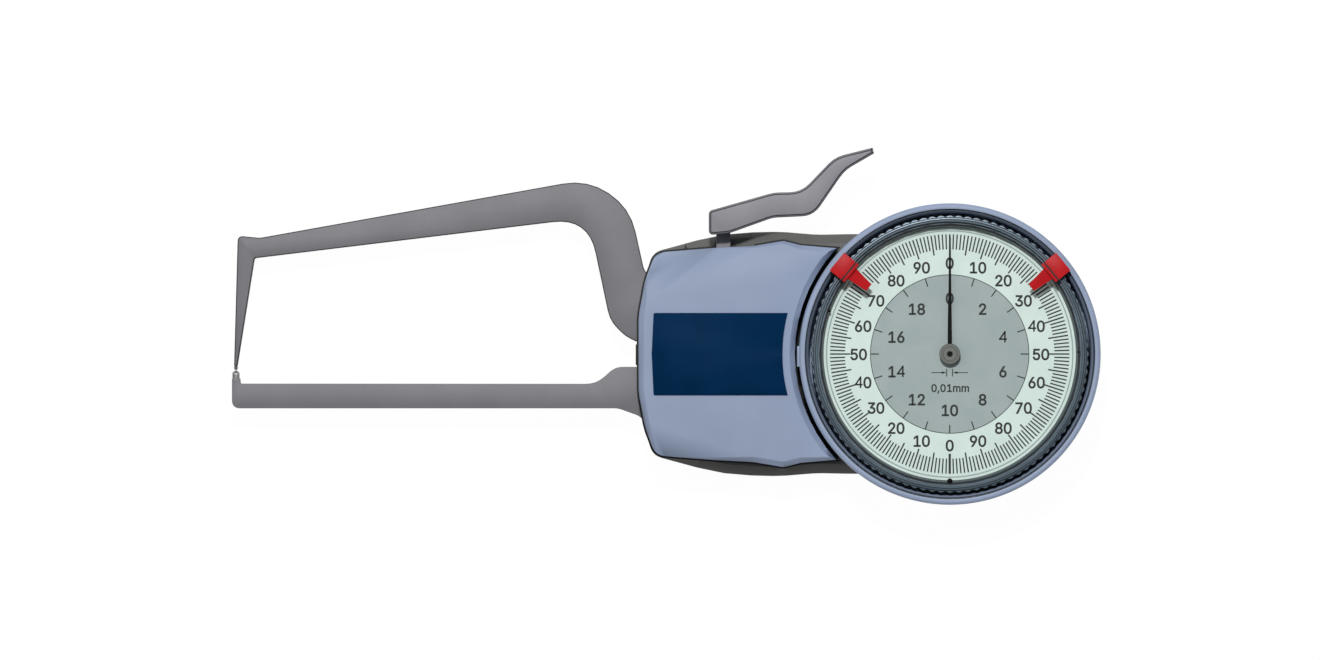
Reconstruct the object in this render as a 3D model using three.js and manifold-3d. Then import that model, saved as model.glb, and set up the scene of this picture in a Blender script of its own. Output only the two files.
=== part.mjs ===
// A wall thickness gauge with a 0.01 mm dial, lying on its back, in millimetres.
// +X runs from the measuring arms to the dial, +Y is up on the dial, +Z is the dial axis.
// The origin is where the dial axis meets the flat rear face.
import * as THREE from 'three';
import { mergeVertices } from 'three/addons/utils/BufferGeometryUtils.js';
import Module from 'manifold-3d';

const wasm = await Module();
wasm.setup();

// Measuring geometry
const throatDepth = 85; // contact axis to the front of the housing
const measuringRange = 20;
const millimetreHandTurn = 20; // opening for one turn of the millimetre hand
const pivotInset = 21.4; // front of the housing to the pivot of the movable arm
const contactDrop = 3.5; // contact faces below the dial axis
const contactGap = 0.05;
const archRise = 36.4; // top of the movable arm above the dial axis
const armThickness = 5;
const armBottom = 7.4;
const fixedArmDrop = 11.55; // lower edge of the fixed arm below the dial axis
const fixedArmWidth = 5.35;
const armGap = 2.65; // each arm's root stays this far from the middle line
const armRoot = 15; // length of each arm's root inside the housing

// Housing
const housingLength = 66.4; // dial axis to the front of the housing
const gripHalfWidth = 25.7;
const coverStep = 3.3; // the front cover is this much narrower on each side
const wall = 1.8;
const floorThickness = 1.8;
const splitHeight = 13;
const gasketThickness = 0.6;
const gasketLip = 0.4;
const coverTop = 22;
const coverBevel = 1.1;
const rearBevel = 2;
const labelThickness = 0.4;
const labelHalfWidth = 8.7;
const labelInset = 3.7;
const labelClearOfRing = 3.5;
const ringGroove = 0.9;

// Dial, bezel and guard ring
const crystalRadius = 27.9;
const crystalThickness = 1;
const crystalLedge = 0.5;
const dialInset = 0.9; // the dial plate is this much smaller than the crystal
const dialTop = 22.9;
const dialThickness = 0.5;
const dialBore = 1.6;
const bezelRim = 1.55; // crystal to the outside of the bezel
const bezelTop = 27;
const bezelSkirt = 0.4; // the skirt is this much inside the knurl
const knurlHeight = 3.2;
const knurlDepth = 0.3;
const knurlTeeth = 72;
const ridgeDepth = 0.25;
const bezelChannel = 0.3;
const guardFoot = 2.15; // thickness of the guard ring at the bezel's foot
const guardWall = 1.3; // and at its top
const guardTop = 26.2;
const channelDepth = 6.2;
const flangeBottom = 15;
const flangeThickness = 1.5;
const flangeWidth = 4.75;
const lugHalfWidth = 2.2;
const lugDrop = 0.5;
const clampWidth = 2.4;
const clampThickness = 0.8;
const sealWidth = 0.25;
const sealThickness = 0.1;

// Tolerance markers
const markerAngle = 50.7; // degrees from the top of the dial
const markerWidth = 4.8;
const markerThickness = 1.6;
const markerSeatInner = 1; // the seat starts this far inside the crystal's edge
const markerSeatOuter = 1.45; // and ends this far outside the bezel
const tongueLength = 4.7;
const tongueHalfRoot = 1.45;
const tongueHalfTip = 0.9;
const tongueThickness = 0.6;
const lipThickness = 0.36;
const lipDepth = 2;

// Movement plates and pivot
const plateThickness = 1;
const baseBottom = 2.3;
const bridgeBottom = 10.2;
const bridgeThickness = 1.2;
const pillarRadius = 2.2;
const pivotShaftRadius = 2;
const bushWall = 1.1;
const hubRadius = 4.8;
const pivotLobe = 6;
const wingBottom = 4.6;
const wingInset = 4.4;
const wingLength = 6;
const wingTop = 11.8;

// Gear train
const pinionTeeth = 14;
const segmentTeeth = 468; // teeth of the full circle that the segment is cut from
const wheelTeeth = 40;
const layPinionTeeth = 16;
const layWheelTeeth = 64;
const centrePinionTeeth = 16;
const layDistance = 8.4;
const arborShare = 2.52; // radius of the arbors, in modules of the toothed segment
const tubeStep = 0.13; // the tube is this much inside the roots of its pinion
const collarRadius = 1.6;
const collarBottom = 8.5;
const collarThickness = 1;
const wheelThickness = 0.6;
const slowWheelBottom = 5.4;
const layWheelBottom = 3.9;
const pinionOver = 0.2; // a pinion stands past its wheel on each side
const segmentBottom = 7;
const segmentThickness = 0.8;
const segmentRim = 2.4;
const segmentWing = 1.6;

// Hands
const handThickness = 0.3;
const handBoss = 1.9;
const handHalfRoot = 0.45;
const millimetreHandShare = 0.452; // of the dial's radius
const millimetreHandHalfTip = 0.3;
const millimetreHandLift = 0.4; // above the dial
const mainHandClear = 1.7; // its tip to the dial's edge
const mainHandHalfTip = 0.17;
const mainHandLift = 1.2;
const hubCapRadius = 2.2;
const hubCapHeight = 0.8;
const arborSink = 0.3; // the main arbor ends this far below the top of its hub

// Springs
const springWire = 0.22; // radius of the wire
const springCoil = 1.05; // mean radius of the coil
const springTurns = 10;
const springHeight = 5.1;
const springDrop = 8;
const hookReach = 2;
const hookPinRadius = 0.7;
const pinOver = 1.3; // the spring pins stand this far past the wire
const hookEdge = 1.5; // metal round the hook pin
const ribbonInner = 1.95;
const ribbonPitch = 0.7625;
const ribbonTurns = 4;
const ribbonWidth = 0.14;
const ribbonBottom = 8.8;
const ribbonHeight = 0.4;
const studRadius = 0.35;

// Contacts
const fixedPinRadius = 0.85;
const fixedPinLength = 3.1;
const fixedBossDrop = 1.7;
const movablePinRadius = 0.45;
const movablePinLength = 0.85;
const movableTipHalfWidth = 0.35;
const fixedTipReach = 0.8;

// Lifting lever
const leverLength = 35;
const leverRise = 18.5;
const leverThickness = 6.8;
const leverBevel = 0.4;
const leverHeel = 3.1; // the lever reaches this far past the middle of its stem
const leverHang = 4.3; // and this far below the stem's top
const stemWidth = 3;
const stemThickness = 2.6;
const stemOffset = 2.9; // stem behind the pivot
const stemRise = 3.8; // stem's top above the grip
const stemScrewDrop = 1.8;
const leverFootInset = 5.4; // front end of the lever's foot
const leverFootLength = 8;

// Screws
const screwShank = 1;
const screwPost = 3;
const headRadius = 1.9;
const headHeight = 1.2;
const smallHeadHeight = 0.9;
const counterbore = 1.6;
const armBossRadius = 2.8;
const ringScrewInset = 2.8;
const screwBite = 3; // depth of a tapped hole

// Clearances
const running = 0.05;
const seatGap = 0.3;
const shimGap = 0.1;
const overrun = 1; // how far a cutting tool runs past a face

// Facets round a full circle
const ringSides = 48;
const innerRingSides = 36;
const hubSides = 24;
const arborSides = 16;
const postSides = 14;
const boreSides = 8;

// What follows from the sizes
const bezelRadius = crystalRadius + bezelRim;
const guardFootRadius = bezelRadius + bezelChannel;
const guardRadius = guardFootRadius + guardFoot;
const dialRadius = crystalRadius - dialInset;
const rearCircle = guardRadius - seatGap;
const bayRadius = rearCircle - wall;
const coverHalfWidth = gripHalfWidth - coverStep;
const bayHalfWidth = coverHalfWidth - wall;
const frontX = -housingLength;
const contactX = frontX - throatDepth;
const pivotX = frontX + pivotInset;
const pivotDistance = -pivotX;
const armTop = armBottom + armThickness;
const armMiddle = (armBottom + armTop) / 2;
const baseTop = baseBottom + plateThickness;
const bridgeTop = bridgeBottom + bridgeThickness;
const gasketTop = splitHeight + gasketThickness;
const flangeTop = flangeBottom + flangeThickness;
const segmentTop = segmentBottom + segmentThickness;
const crystalBottom = bezelTop - crystalThickness;
const mmHandBottom = dialTop + millimetreHandLift;
const mainHandBottom = dialTop + mainHandLift;
const screwBore = screwShank + seatGap;
const leverStemX = pivotX - stemOffset;
const leverStemTop = gripHalfWidth + stemRise;
const leverFootBottom = armTop;
const leverBottom = leverFootBottom + stemThickness;
const gearRatio = segmentTeeth / pinionTeeth;
const fullTurn = 2 * Math.PI;
const degree = Math.PI / 180;
const openAngle = (measuringRange / millimetreHandTurn) * (fullTurn / gearRatio);

// Teeth: half thicknesses and heights as shares of the module
const toothHalfShare = 0.58;
const tipHalfShare = 0.24;
const addendumShare = 0.85;
const dedendumShare = 1.2;
const segmentModule = (2 * pivotDistance) / (segmentTeeth - pinionTeeth);
const slowModule = (2 * layDistance) / (wheelTeeth + layPinionTeeth);
const fastModule = (2 * layDistance) / (layWheelTeeth + centrePinionTeeth);
const arborRadius = arborShare * segmentModule;
const tubeRadius = (pinionTeeth / 2 - dedendumShare) * segmentModule - tubeStep;

// Solids from three.js geometry
function toSolid(geometry) {
  const bare = geometry.clone();
  bare.deleteAttribute('normal');
  bare.deleteAttribute('uv');
  const merged = mergeVertices(bare, 1e-5);
  const index = merged.index.array;
  const vertices = merged.attributes.position.array;
  const triangles = [];
  for (let i = 0; i < index.length; i += 3) {
    const [a, b, c] = [index[i], index[i + 1], index[i + 2]];
    if (a !== b && b !== c && c !== a) triangles.push(a, b, c);
  }
  const mesh = new wasm.Mesh({
    numProp: 3,
    vertProperties: new Float32Array(vertices),
    triVerts: new Uint32Array(triangles),
  });
  return new wasm.Manifold(mesh);
}

function toGeometry(solid) {
  const mesh = solid.getMesh();
  const geometry = new THREE.BufferGeometry();
  geometry.setAttribute('position', new THREE.BufferAttribute(mesh.vertProperties, 3));
  geometry.setIndex(new THREE.BufferAttribute(mesh.triVerts, 1));
  geometry.computeVertexNormals();
  return geometry;
}

function joined(solids) {
  return solids.reduce((sum, solid) => sum.add(solid));
}

function without(solid, cuts) {
  return cuts.reduce((rest, cut) => rest.subtract(cut), solid);
}

// Flat outlines: corners are [x, y, radius]
function rounded(corners) {
  const facetTurn = 12 * degree;
  const points = [];
  const count = corners.length;
  corners.forEach(([x, y, radius], i) => {
    const here = new THREE.Vector2(x, y);
    if (!radius) {
      points.push(here);
      return;
    }
    const before = new THREE.Vector2(...corners[(i + count - 1) % count]).sub(here);
    const after = new THREE.Vector2(...corners[(i + 1) % count]).sub(here);
    const turn = Math.PI - Math.acos(before.dot(after) / (before.length() * after.length()));
    const reach = Math.min(radius * Math.tan(turn / 2), before.length() / 2, after.length() / 2);
    const start = here.clone().add(before.setLength(reach));
    const end = here.clone().add(after.setLength(reach));
    const steps = Math.max(1, Math.ceil(turn / facetTurn));
    const curve = new THREE.QuadraticBezierCurve(start, here, end);
    points.push(...curve.getPoints(steps));
  });
  return points;
}

function arc(radius, from, to, steps, x = 0, y = 0) {
  return Array.from({ length: steps + 1 }, (_, i) => {
    const angle = from + ((to - from) * i) / steps;
    return new THREE.Vector2(x + radius * Math.cos(angle), y + radius * Math.sin(angle));
  });
}

function inset(points, distance) {
  const sign = THREE.ShapeUtils.isClockWise(points) ? -1 : 1;
  const count = points.length;
  return points.map((point, i) => {
    const along = point.clone().sub(points[(i + count - 1) % count]).normalize();
    const next = points[(i + 1) % count].clone().sub(point).normalize();
    const normal = new THREE.Vector2(-along.y - next.y, along.x + next.x).multiplyScalar(sign);
    const half = normal.length() / 2;
    return point.clone().add(normal.setLength(distance / half));
  });
}

function plate(points, bottom, top) {
  const shape = new THREE.Shape(points);
  const geometry = new THREE.ExtrudeGeometry(shape, { depth: top - bottom, bevelEnabled: false });
  return toSolid(geometry.translate(0, 0, bottom));
}

// A plate with its top and bottom edges bevelled
function bevelledPlate(points, bottom, top, bevel) {
  const shape = new THREE.Shape(points);
  const geometry = new THREE.ExtrudeGeometry(shape, {
    depth: top - bottom - 2 * bevel,
    bevelEnabled: true,
    bevelThickness: bevel,
    bevelSize: bevel,
    bevelOffset: -bevel,
    bevelSegments: 1,
  });
  return toSolid(geometry.translate(0, 0, bottom + bevel));
}

function post(radius, bottom, top, x, y, sides = postSides) {
  const geometry = new THREE.CylinderGeometry(radius, radius, top - bottom, sides);
  return toSolid(geometry.rotateX(Math.PI / 2).translate(x, y, (top + bottom) / 2));
}

function bore(radius, [x, y], sides = boreSides) {
  return post(radius, -overrun, bezelTop + overrun, x, y, sides);
}

function tube(outer, inner, bottom, top, x, y, sides = postSides) {
  return post(outer, bottom, top, x, y, sides).subtract(bore(inner, [x, y], sides));
}

function block(minX, maxX, minY, maxY, minZ, maxZ) {
  const geometry = new THREE.BoxGeometry(maxX - minX, maxY - minY, maxZ - minZ);
  const middle = [(minX + maxX) / 2, (minY + maxY) / 2, (minZ + maxZ) / 2];
  return toSolid(geometry.translate(...middle));
}

// A turned piece from a closed profile of [radius, height], counter-clockwise
function revolve(profile, sides, x = 0, y = 0) {
  const points = profile.map(([radius, height]) => new THREE.Vector2(radius, height));
  if (profile.every(([radius]) => radius > 0)) points.push(points[0].clone());
  const geometry = new THREE.LatheGeometry(points, sides);
  return toSolid(geometry.rotateX(Math.PI / 2).translate(x, y, 0));
}

const group = new THREE.Group();

function addPiece(name, solid, material) {
  const mesh = new THREE.Mesh(toGeometry(solid), material);
  mesh.name = name;
  group.add(mesh);
}

// Materials
function finish(color, roughness, metalness) {
  return () => new THREE.MeshStandardMaterial({ color, roughness, metalness });
}

const paintedCover = finish(0x96a2b8, 0.45, 0.1);
const darkShell = finish(0x4a4a49, 0.6, 0);
const rubber = finish(0x141416, 0.85, 0);
const armMetal = finish(0x828186, 0.4, 0.8);
const polishedSteel = finish(0xb4b4b6, 0.25, 1);
const brass = finish(0xb49a55, 0.35, 1);
const blackMetal = finish(0x1c1e20, 0.4, 0.6);
const dialPaint = finish(0xd0e2dc, 0.6, 0);
const clearPlastic = finish(0xeef2f2, 0.05, 0);
const redPlastic = finish(0xcc282d, 0.45, 0);
const labelFilm = finish(0x072b49, 0.5, 0);

// Where a straight edge at a given height runs into a circle round the dial axis
function meetX(radius, height) {
  return -Math.sqrt(radius ** 2 - height ** 2);
}

const grooveRadius = guardRadius + ringGroove;
const ringMeetX = meetX(grooveRadius, coverHalfWidth);
const rearMeetX = meetX(rearCircle, gripHalfWidth);

// A place between the dial ring and the front of the housing
function gripX(share, start = ringMeetX) {
  return start + share * (frontX - start);
}

// Housing outlines: shares of the way to the front, of the half width, and of the length for corners
const rearShares = [
  [0.9885, 0.43, 0.1],
  [0.928, 0.839, 0.055],
  [0.61, 1, 0.8],
  [0.363, 1.01, 0.4],
  [0.2, 0.985, 0.3],
  [0.07, 0.99, 0.05],
];
const frontShares = [
  [0.9875, 0.36, 0.15],
  [0.9545, 0.7, 0.15],
  [0.903, 0.958, 0.05],
  [0.6166, 1.002, 0.15],
  [0.4133, 1.022, 0.1],
  [0.2632, 1.07, 0.035],
  [0.177, 1.028, 0.035],
];

function sideCorners(shares, start, halfWidth, side) {
  return shares.map(([along, up, radius]) => [
    gripX(along, start),
    side * up * halfWidth,
    radius * housingLength,
  ]);
}

function housingOutline(shares, start, halfWidth, rightEnd) {
  return rounded([
    ...sideCorners(shares, start, halfWidth, 1).reverse(),
    ...sideCorners(shares, start, halfWidth, -1),
    ...rightEnd.map(({ x, y }) => [x, y, 0]),
  ]);
}

function rearOutline() {
  const meetAngle = Math.atan2(gripHalfWidth, rearMeetX);
  const rightEnd = arc(rearCircle - seatGap, -meetAngle, meetAngle, 24);
  return housingOutline(rearShares, rearMeetX, gripHalfWidth, rightEnd);
}

function frontOutline() {
  const meetAngle = Math.atan2(coverHalfWidth, ringMeetX);
  const rightEnd = arc(grooveRadius, fullTurn - meetAngle, meetAngle, 14);
  return housingOutline(frontShares, ringMeetX, coverHalfWidth, rightEnd);
}

// Where the housing is held together
const coverScrewShares = [[0.142, 0.87], [0.543, -0.87]];
const coverScrews = coverScrewShares.map(([along, up]) => [gripX(along), up * coverHalfWidth]);
const ringScrewRadius = bayRadius - ringScrewInset;
const ringScrews = [1, -1].map((side) => [
  ringScrewRadius * Math.SQRT1_2,
  side * ringScrewRadius * Math.SQRT1_2,
]);
const leftPillarShares = [0.331, 0.825];
const rightPillarShares = [0.403, 0.57];
const pillarPlaces = [1, -1].flatMap((side) => [
  [gripX(leftPillarShares[0]), side * leftPillarShares[1] * bayHalfWidth],
  [rightPillarShares[0] * bayRadius, side * rightPillarShares[1] * bayRadius],
]);

// A plain headed screw; the head lies above its seat, or below it when headTop is the lower value
function screw([x, y], headBottom, headTop, tip) {
  const profile = [
    [0, tip], [screwShank, tip], [screwShank, headBottom],
    [headRadius, headBottom], [headRadius, headTop], [0, headTop],
  ];
  return revolve(headTop > headBottom ? profile : profile.reverse(), boreSides, x, y);
}

// Arm roots: shares of the root's length from the front, and of the arm gap or the wing's top
const fixedScrewShares = [[0.393, -2.87], [0.787, -2.87]];
const movableScrewShares = [[0.49, 0.627], [0.85, 0.627]];
const armScrewPlaces = fixedScrewShares.map(([along, up]) => [frontX + along * armRoot, up * armGap]);
const movableScrewPlaces = movableScrewShares.map(([along, up]) => [
  frontX + along * armRoot,
  up * wingTop,
]);

function sector(fromAngle, toAngle, inner, outer, bottom, top) {
  const points = [
    ...arc(inner, toAngle, fromAngle, 8, pivotX, 0),
    ...arc(outer, fromAngle, toAngle, 8, pivotX, 0),
  ];
  return plate(points, bottom, top);
}

// The window that the lever's stem swings in
const leverWindowShare = 0.8; // of the front cover's half width
const leverWindow = {
  left: leverStemX - stemWidth / 2 - seatGap,
  right: leverStemX + stemWidth / 2 + gripHalfWidth * Math.sin(openAngle) + seatGap,
  inner: leverWindowShare * coverHalfWidth,
  outer: gripHalfWidth + wall,
};

function leverCut(bottom, top) {
  const { left, right, inner, outer } = leverWindow;
  return block(left, right, inner, outer, bottom, top);
}

const fixedFlareShare = 1.489; // deepest point of the fixed arm's root
const fixedFlare = armGap + fixedFlareShare * (fixedArmDrop - armGap);

function rearCover() {
  const outline = rearOutline();
  const coverOutline = frontOutline();
  const shell = joined([
    bevelledPlate(outline, 0, splitHeight, rearBevel),
    plate(coverOutline, splitHeight - 2 * rearBevel, splitHeight),
    post(rearCircle, rearBevel, splitHeight, 0, 0, ringSides),
  ]);
  const hollow = joined([
    plate(inset(outline, wall), floorThickness, splitHeight - rearBevel),
    plate(inset(coverOutline, wall), floorThickness, splitHeight + overrun),
    post(bayRadius, floorThickness, splitHeight + overrun, 0, 0, ringSides),
    block(-grooveRadius - 2 * wall, 0, -bayHalfWidth, bayHalfWidth, floorThickness, splitHeight + overrun),
  ]);
  const posts = [
    ...coverScrews.map(([x, y]) => post(screwPost, floorThickness / 2, splitHeight, x, y)),
    ...ringScrews.map(([x, y]) => post(screwPost, floorThickness / 2, splitHeight, x, y)),
    ...armScrewPlaces.map(([x, y]) => post(armBossRadius, floorThickness / 2, armBottom, x, y)),
    ...pillarPlaces.map(([x, y]) => post(pillarRadius, floorThickness / 2, baseBottom, x, y)),
  ];
  const screwHoles = [...coverScrews, ...ringScrews].flatMap(([x, y]) => [
    bore(screwBore, [x, y]),
    post(headRadius + seatGap, -overrun, counterbore, x, y),
  ]);
  const armHoles = armScrewPlaces.map(([x, y]) => (
    post(screwBore, floorThickness, armBottom + overrun, x, y, boreSides)
  ));
  const slotBottom = armBottom - seatGap;
  const slotTop = splitHeight + overrun;
  const slotAngles = [115.2 * degree, Math.PI - Math.atan(armGap / pivotInset) + 1.56 * degree];
  const innerShare = 0.65;
  const movableSlot = sector(...slotAngles, innerShare * pivotInset, 2 * pivotInset, slotBottom, slotTop);
  const fixedSlot = block(frontX - wall, frontX + 2 * wall, -fixedFlare - 2 * seatGap,
    -armGap + seatGap, slotBottom, slotTop);
  const fixedRoot = plate(inset(fixedArmOutline(), -seatGap), armBottom, slotTop);
  return without(joined([shell.subtract(hollow), ...posts]), [
    ...screwHoles, ...armHoles, movableSlot, fixedSlot, fixedRoot,
    leverCut(leverFootBottom - seatGap, slotTop),
  ]);
}

// Slanted facets on the front cover's two front corners, each from a line on its top face
const facetShares = [
  { from: [0.906, 0.509], to: [0.032, 1.004], slope: 8 * degree },
  { from: [0.465, -0.946], to: [0.92, -0.692], slope: 12 * degree },
];

function facetCut({ from, to, slope }) {
  const [start, end] = [from, to].map(([along, up]) => (
    new THREE.Vector2(gripX(along), up * coverHalfWidth)
  ));
  const middle = start.clone().add(end).divideScalar(2);
  const direction = Math.atan2(end.y - start.y, end.x - start.x);
  const geometry = new THREE.BoxGeometry(2 * housingLength, housingLength, coverTop)
    .translate(0, housingLength / 2, coverTop / 2)
    .rotateX(-slope)
    .rotateZ(direction)
    .translate(middle.x, middle.y, coverTop);
  return toSolid(geometry);
}

function frontCover() {
  const outline = frontOutline();
  const facets = facetShares.map(facetCut);
  const under = splitHeight - coverBevel;
  const shell = without(bevelledPlate(outline, under, coverTop, coverBevel), facets)
    .intersect(plate(outline, gasketTop, coverTop));
  const hollow = plate(inset(outline, wall), gasketTop - overrun, coverTop - wall);
  const whole = plate(outline, splitHeight, coverTop - wall / 2);
  const posts = coverScrews.map(([x, y]) => (
    post(screwPost, gasketTop, coverTop - wall / 2, x, y).intersect(whole)
  ));
  const holes = coverScrews.map(([x, y]) => (
    post(screwBore, splitHeight, coverTop - wall - seatGap, x, y, boreSides)
  ));
  return without(joined([shell.subtract(hollow), ...posts]),
    [...holes, leverCut(splitHeight, leverBottom + seatGap)]);
}

function coverGasket() {
  const outline = frontOutline();
  const whole = plate(inset(outline, -gasketLip), splitHeight, gasketTop);
  const ring = whole.subtract(plate(inset(outline, wall), splitHeight - overrun, gasketTop + overrun));
  const pads = coverScrews.map(([x, y]) => (
    post(screwPost, splitHeight, gasketTop, x, y).intersect(whole)
  ));
  return without(joined([ring, ...pads]), [
    ...coverScrews.map((place) => bore(screwBore, place)),
    leverCut(splitHeight - overrun, gasketTop + overrun),
    bore(guardRadius + seatGap, [0, 0], ringSides),
  ]);
}

function labelPlate() {
  const arcRadius = guardRadius + labelClearOfRing;
  const corner = Math.asin(labelHalfWidth / arcRadius);
  const labelLeft = frontX + labelInset;
  const left = [
    [labelLeft, labelHalfWidth, labelThickness],
    [labelLeft - labelThickness, 0, 0],
    [labelLeft, -labelHalfWidth, labelThickness],
  ];
  const right = arc(arcRadius, Math.PI + corner, Math.PI - corner, 8).map(({ x, y }) => [x, y, 0]);
  return plate(rounded([...left, ...right]), coverTop, coverTop + labelThickness);
}

// The inner wall slants outwards from the channel floor, so light falls on it
function guardRing() {
  const inner = guardRadius - guardWall;
  const bevel = guardWall / 3;
  const channelFloor = guardTop - channelDepth;
  const flangeInner = guardFootRadius - flangeWidth;
  const ring = revolve([
    [flangeInner, flangeBottom],
    [guardFootRadius, flangeBottom],
    [guardFootRadius, splitHeight],
    [guardRadius, splitHeight],
    [guardRadius, guardTop - bevel],
    [guardRadius - bevel, guardTop],
    [inner, guardTop],
    [inner - bevel / 2, guardTop - bevel / 2],
    [guardFootRadius, channelFloor],
    [guardFootRadius, flangeTop],
    [flangeInner, flangeTop],
  ], ringSides);
  const lug = block(-guardRadius - ringGroove / 2, -inner - bevel, -lugDrop - lugHalfWidth,
    -lugDrop + lugHalfWidth, gasketTop, guardTop - 2 * bevel);
  const posts = ringScrews.map(([x, y]) => post(screwPost, splitHeight, flangeBottom + bevel, x, y));
  const holes = ringScrews.map(([x, y]) => (
    post(screwBore, splitHeight - overrun, flangeTop - seatGap, x, y, boreSides)
  ));
  return without(joined([ring, lug, ...posts]), holes);
}

// Movement plates: corners by the pivot, on the grip side and under the dial, with corner radii
const lobeShares = { left: 1, right: 0.25, up: 0.93, radius: 0.5 };
const gripPlateShares = [[0.413, 0.971], [0.255, 0.971], [0.225, 0.607]];
const bayPlateShares = [[0.067, 0.42], [0.268, 0.688], [0.5, 0.688], [0.513, 0.403], [0.57, 0.2]];

function movementOutline() {
  const { left, right, up, radius } = lobeShares;
  const cornerRadius = radius * pivotLobe;
  const upper = [
    [pivotX - left * pivotLobe, up * pivotLobe, cornerRadius],
    [pivotX + right * pivotLobe, up * pivotLobe, cornerRadius],
    ...gripPlateShares.map(([along, out]) => [gripX(along), out * bayHalfWidth, pillarRadius]),
    ...bayPlateShares.map(([along, out]) => [along * bayRadius, out * bayRadius, pillarRadius]),
  ];
  const lower = upper.map(([x, y, corner]) => [x, -y, corner]).reverse();
  return rounded([...upper, ...lower]);
}

function basePlate() {
  return without(plate(movementOutline(), baseBottom, baseTop), [
    bore(arborRadius + running, [0, 0], arborSides),
    bore(arborRadius + running, [layDistance, 0], arborSides),
  ]);
}

function bridgePlate() {
  return without(plate(movementOutline(), bridgeBottom, bridgeTop), [
    bore(tubeRadius + running, [0, 0], arborSides),
    bore(arborRadius + running, [layDistance, 0], arborSides),
    ...pillarPlaces.map((place) => bore(screwBore, place)),
  ]);
}

function pillar([x, y]) {
  const tapped = post(screwBore, bridgeBottom - screwBite, bridgeBottom + overrun, x, y, boreSides);
  return post(pillarRadius, baseTop, bridgeBottom, x, y).subtract(tapped);
}

// A place along an arm: below 0 a share of the throat, above 0 a share of the root
function armX(share) {
  return frontX + share * (share < 0 ? throatDepth : armRoot);
}

function armCorners(shares, height, side) {
  return shares.map(([along, up, radius]) => [
    armX(along),
    side * (armGap + up * (height - armGap)),
    radius * fixedArmWidth,
  ]);
}

// Shares along the arm, from the arm gap to the lower edge, and of the width for corners
const fixedArmShares = [
  [-0.045, 1, 0.75],
  [0.068, 1.197, 0.56],
  [0.17, fixedFlareShare, 0],
  [0.368, 1.118, 0],
  [1, 1.118, 0.37],
  [1, 0.01, 0.19],
  [-0.052, 0.01, 0.75],
  [-0.1, 0.416, 1.1],
];

function fixedArmOutline() {
  const left = contactX - fixedTipReach;
  const bossRight = contactX + fixedPinRadius + running;
  const bossTop = -contactDrop - fixedBossDrop;
  const barTop = -fixedArmDrop + fixedArmWidth;
  const corner = fixedArmWidth / 3;
  return rounded([
    [left, -fixedArmDrop, corner],
    ...armCorners(fixedArmShares, fixedArmDrop, -1),
    [bossRight + shimGap, barTop - shimGap, seatGap],
    [bossRight, bossTop, seatGap / 2],
    [left, bossTop, seatGap],
  ]);
}

function fixedArm() {
  const pinHole = toSolid(new THREE.CylinderGeometry(
    fixedPinRadius + running, fixedPinRadius + running, fixedPinLength, arborSides,
  ).translate(contactX, -contactDrop - fixedPinLength / 2 - shimGap, armMiddle));
  return without(plate(fixedArmOutline(), armBottom, armTop), [
    ...armScrewPlaces.map((place) => bore(screwBore, place)),
    pinHole,
  ]);
}

// A round-ended pin along Y in the middle of the arms
function contactPin(radius, tip, foot) {
  const profile = [new THREE.Vector2(0, 0), new THREE.Vector2(radius, 0)];
  const straight = Math.abs(tip - foot) - radius;
  arc(radius, 0, Math.PI / 2, 5).slice(0, -1).forEach(({ x, y }) => {
    profile.push(new THREE.Vector2(x, straight + y));
  });
  profile.push(new THREE.Vector2(0, straight + radius));
  const geometry = new THREE.LatheGeometry(profile, arborSides);
  if (tip < foot) geometry.rotateX(Math.PI);
  return toSolid(geometry.translate(contactX, foot, armMiddle));
}

// Shares as for the fixed arm, up to the arch
const movableArmShares = [
  [-0.995, 0.6656, 0.22],
  [-0.94, 0.6516, 0.75],
  [-0.1208, 1.0213, 2.55],
  [-0.0148, 0.8436, 2.55],
  [0.113, 0.4489, 0.56],
  [0.393, 0.3244, 0.56],
  [1, 0.188, 0.28],
  [1, 0, 0.19],
  [-0.001, 0, 0],
  [-0.0264, 0.0314, 1.4],
  [-0.0655, 0.128, 1.4],
  [-0.12, 0.7778, 1.55],
  [-0.953, 0.5233, 0.11],
];

function movableArm() {
  const tipY = -contactDrop + contactGap + movablePinLength;
  const outline = rounded([
    [contactX - movableTipHalfWidth, tipY, 0],
    ...armCorners(movableArmShares, archRise, 1),
    [contactX + movableTipHalfWidth, tipY, 0],
  ]);
  return without(plate(outline, armBottom, armTop), movableScrewPlaces.map((place) => (
    bore(screwBore, place)
  )));
}

// Places on the pivot carrier and the segment, as shares of the pivot's distance from the dial axis
const segmentScrewShares = [[0.244, 0.067], [0.422, 0.067]];
const segmentScrewPlaces = segmentScrewShares.map(([along, up]) => [
  pivotX + along * pivotDistance,
  up * pivotDistance,
]);
const segmentWingShares = [[0.5, 0.142], [0.5, -0.013]];
const springAnchorShare = 0.556;
const springHook = [pivotX + hookReach, -springDrop];
const springAnchor = [pivotX + springAnchorShare * pivotDistance, -springDrop];
const hubBottom = baseTop + seatGap;
const hubTop = bridgeBottom - seatGap;
const bushRadius = pivotShaftRadius + running + bushWall;

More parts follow.
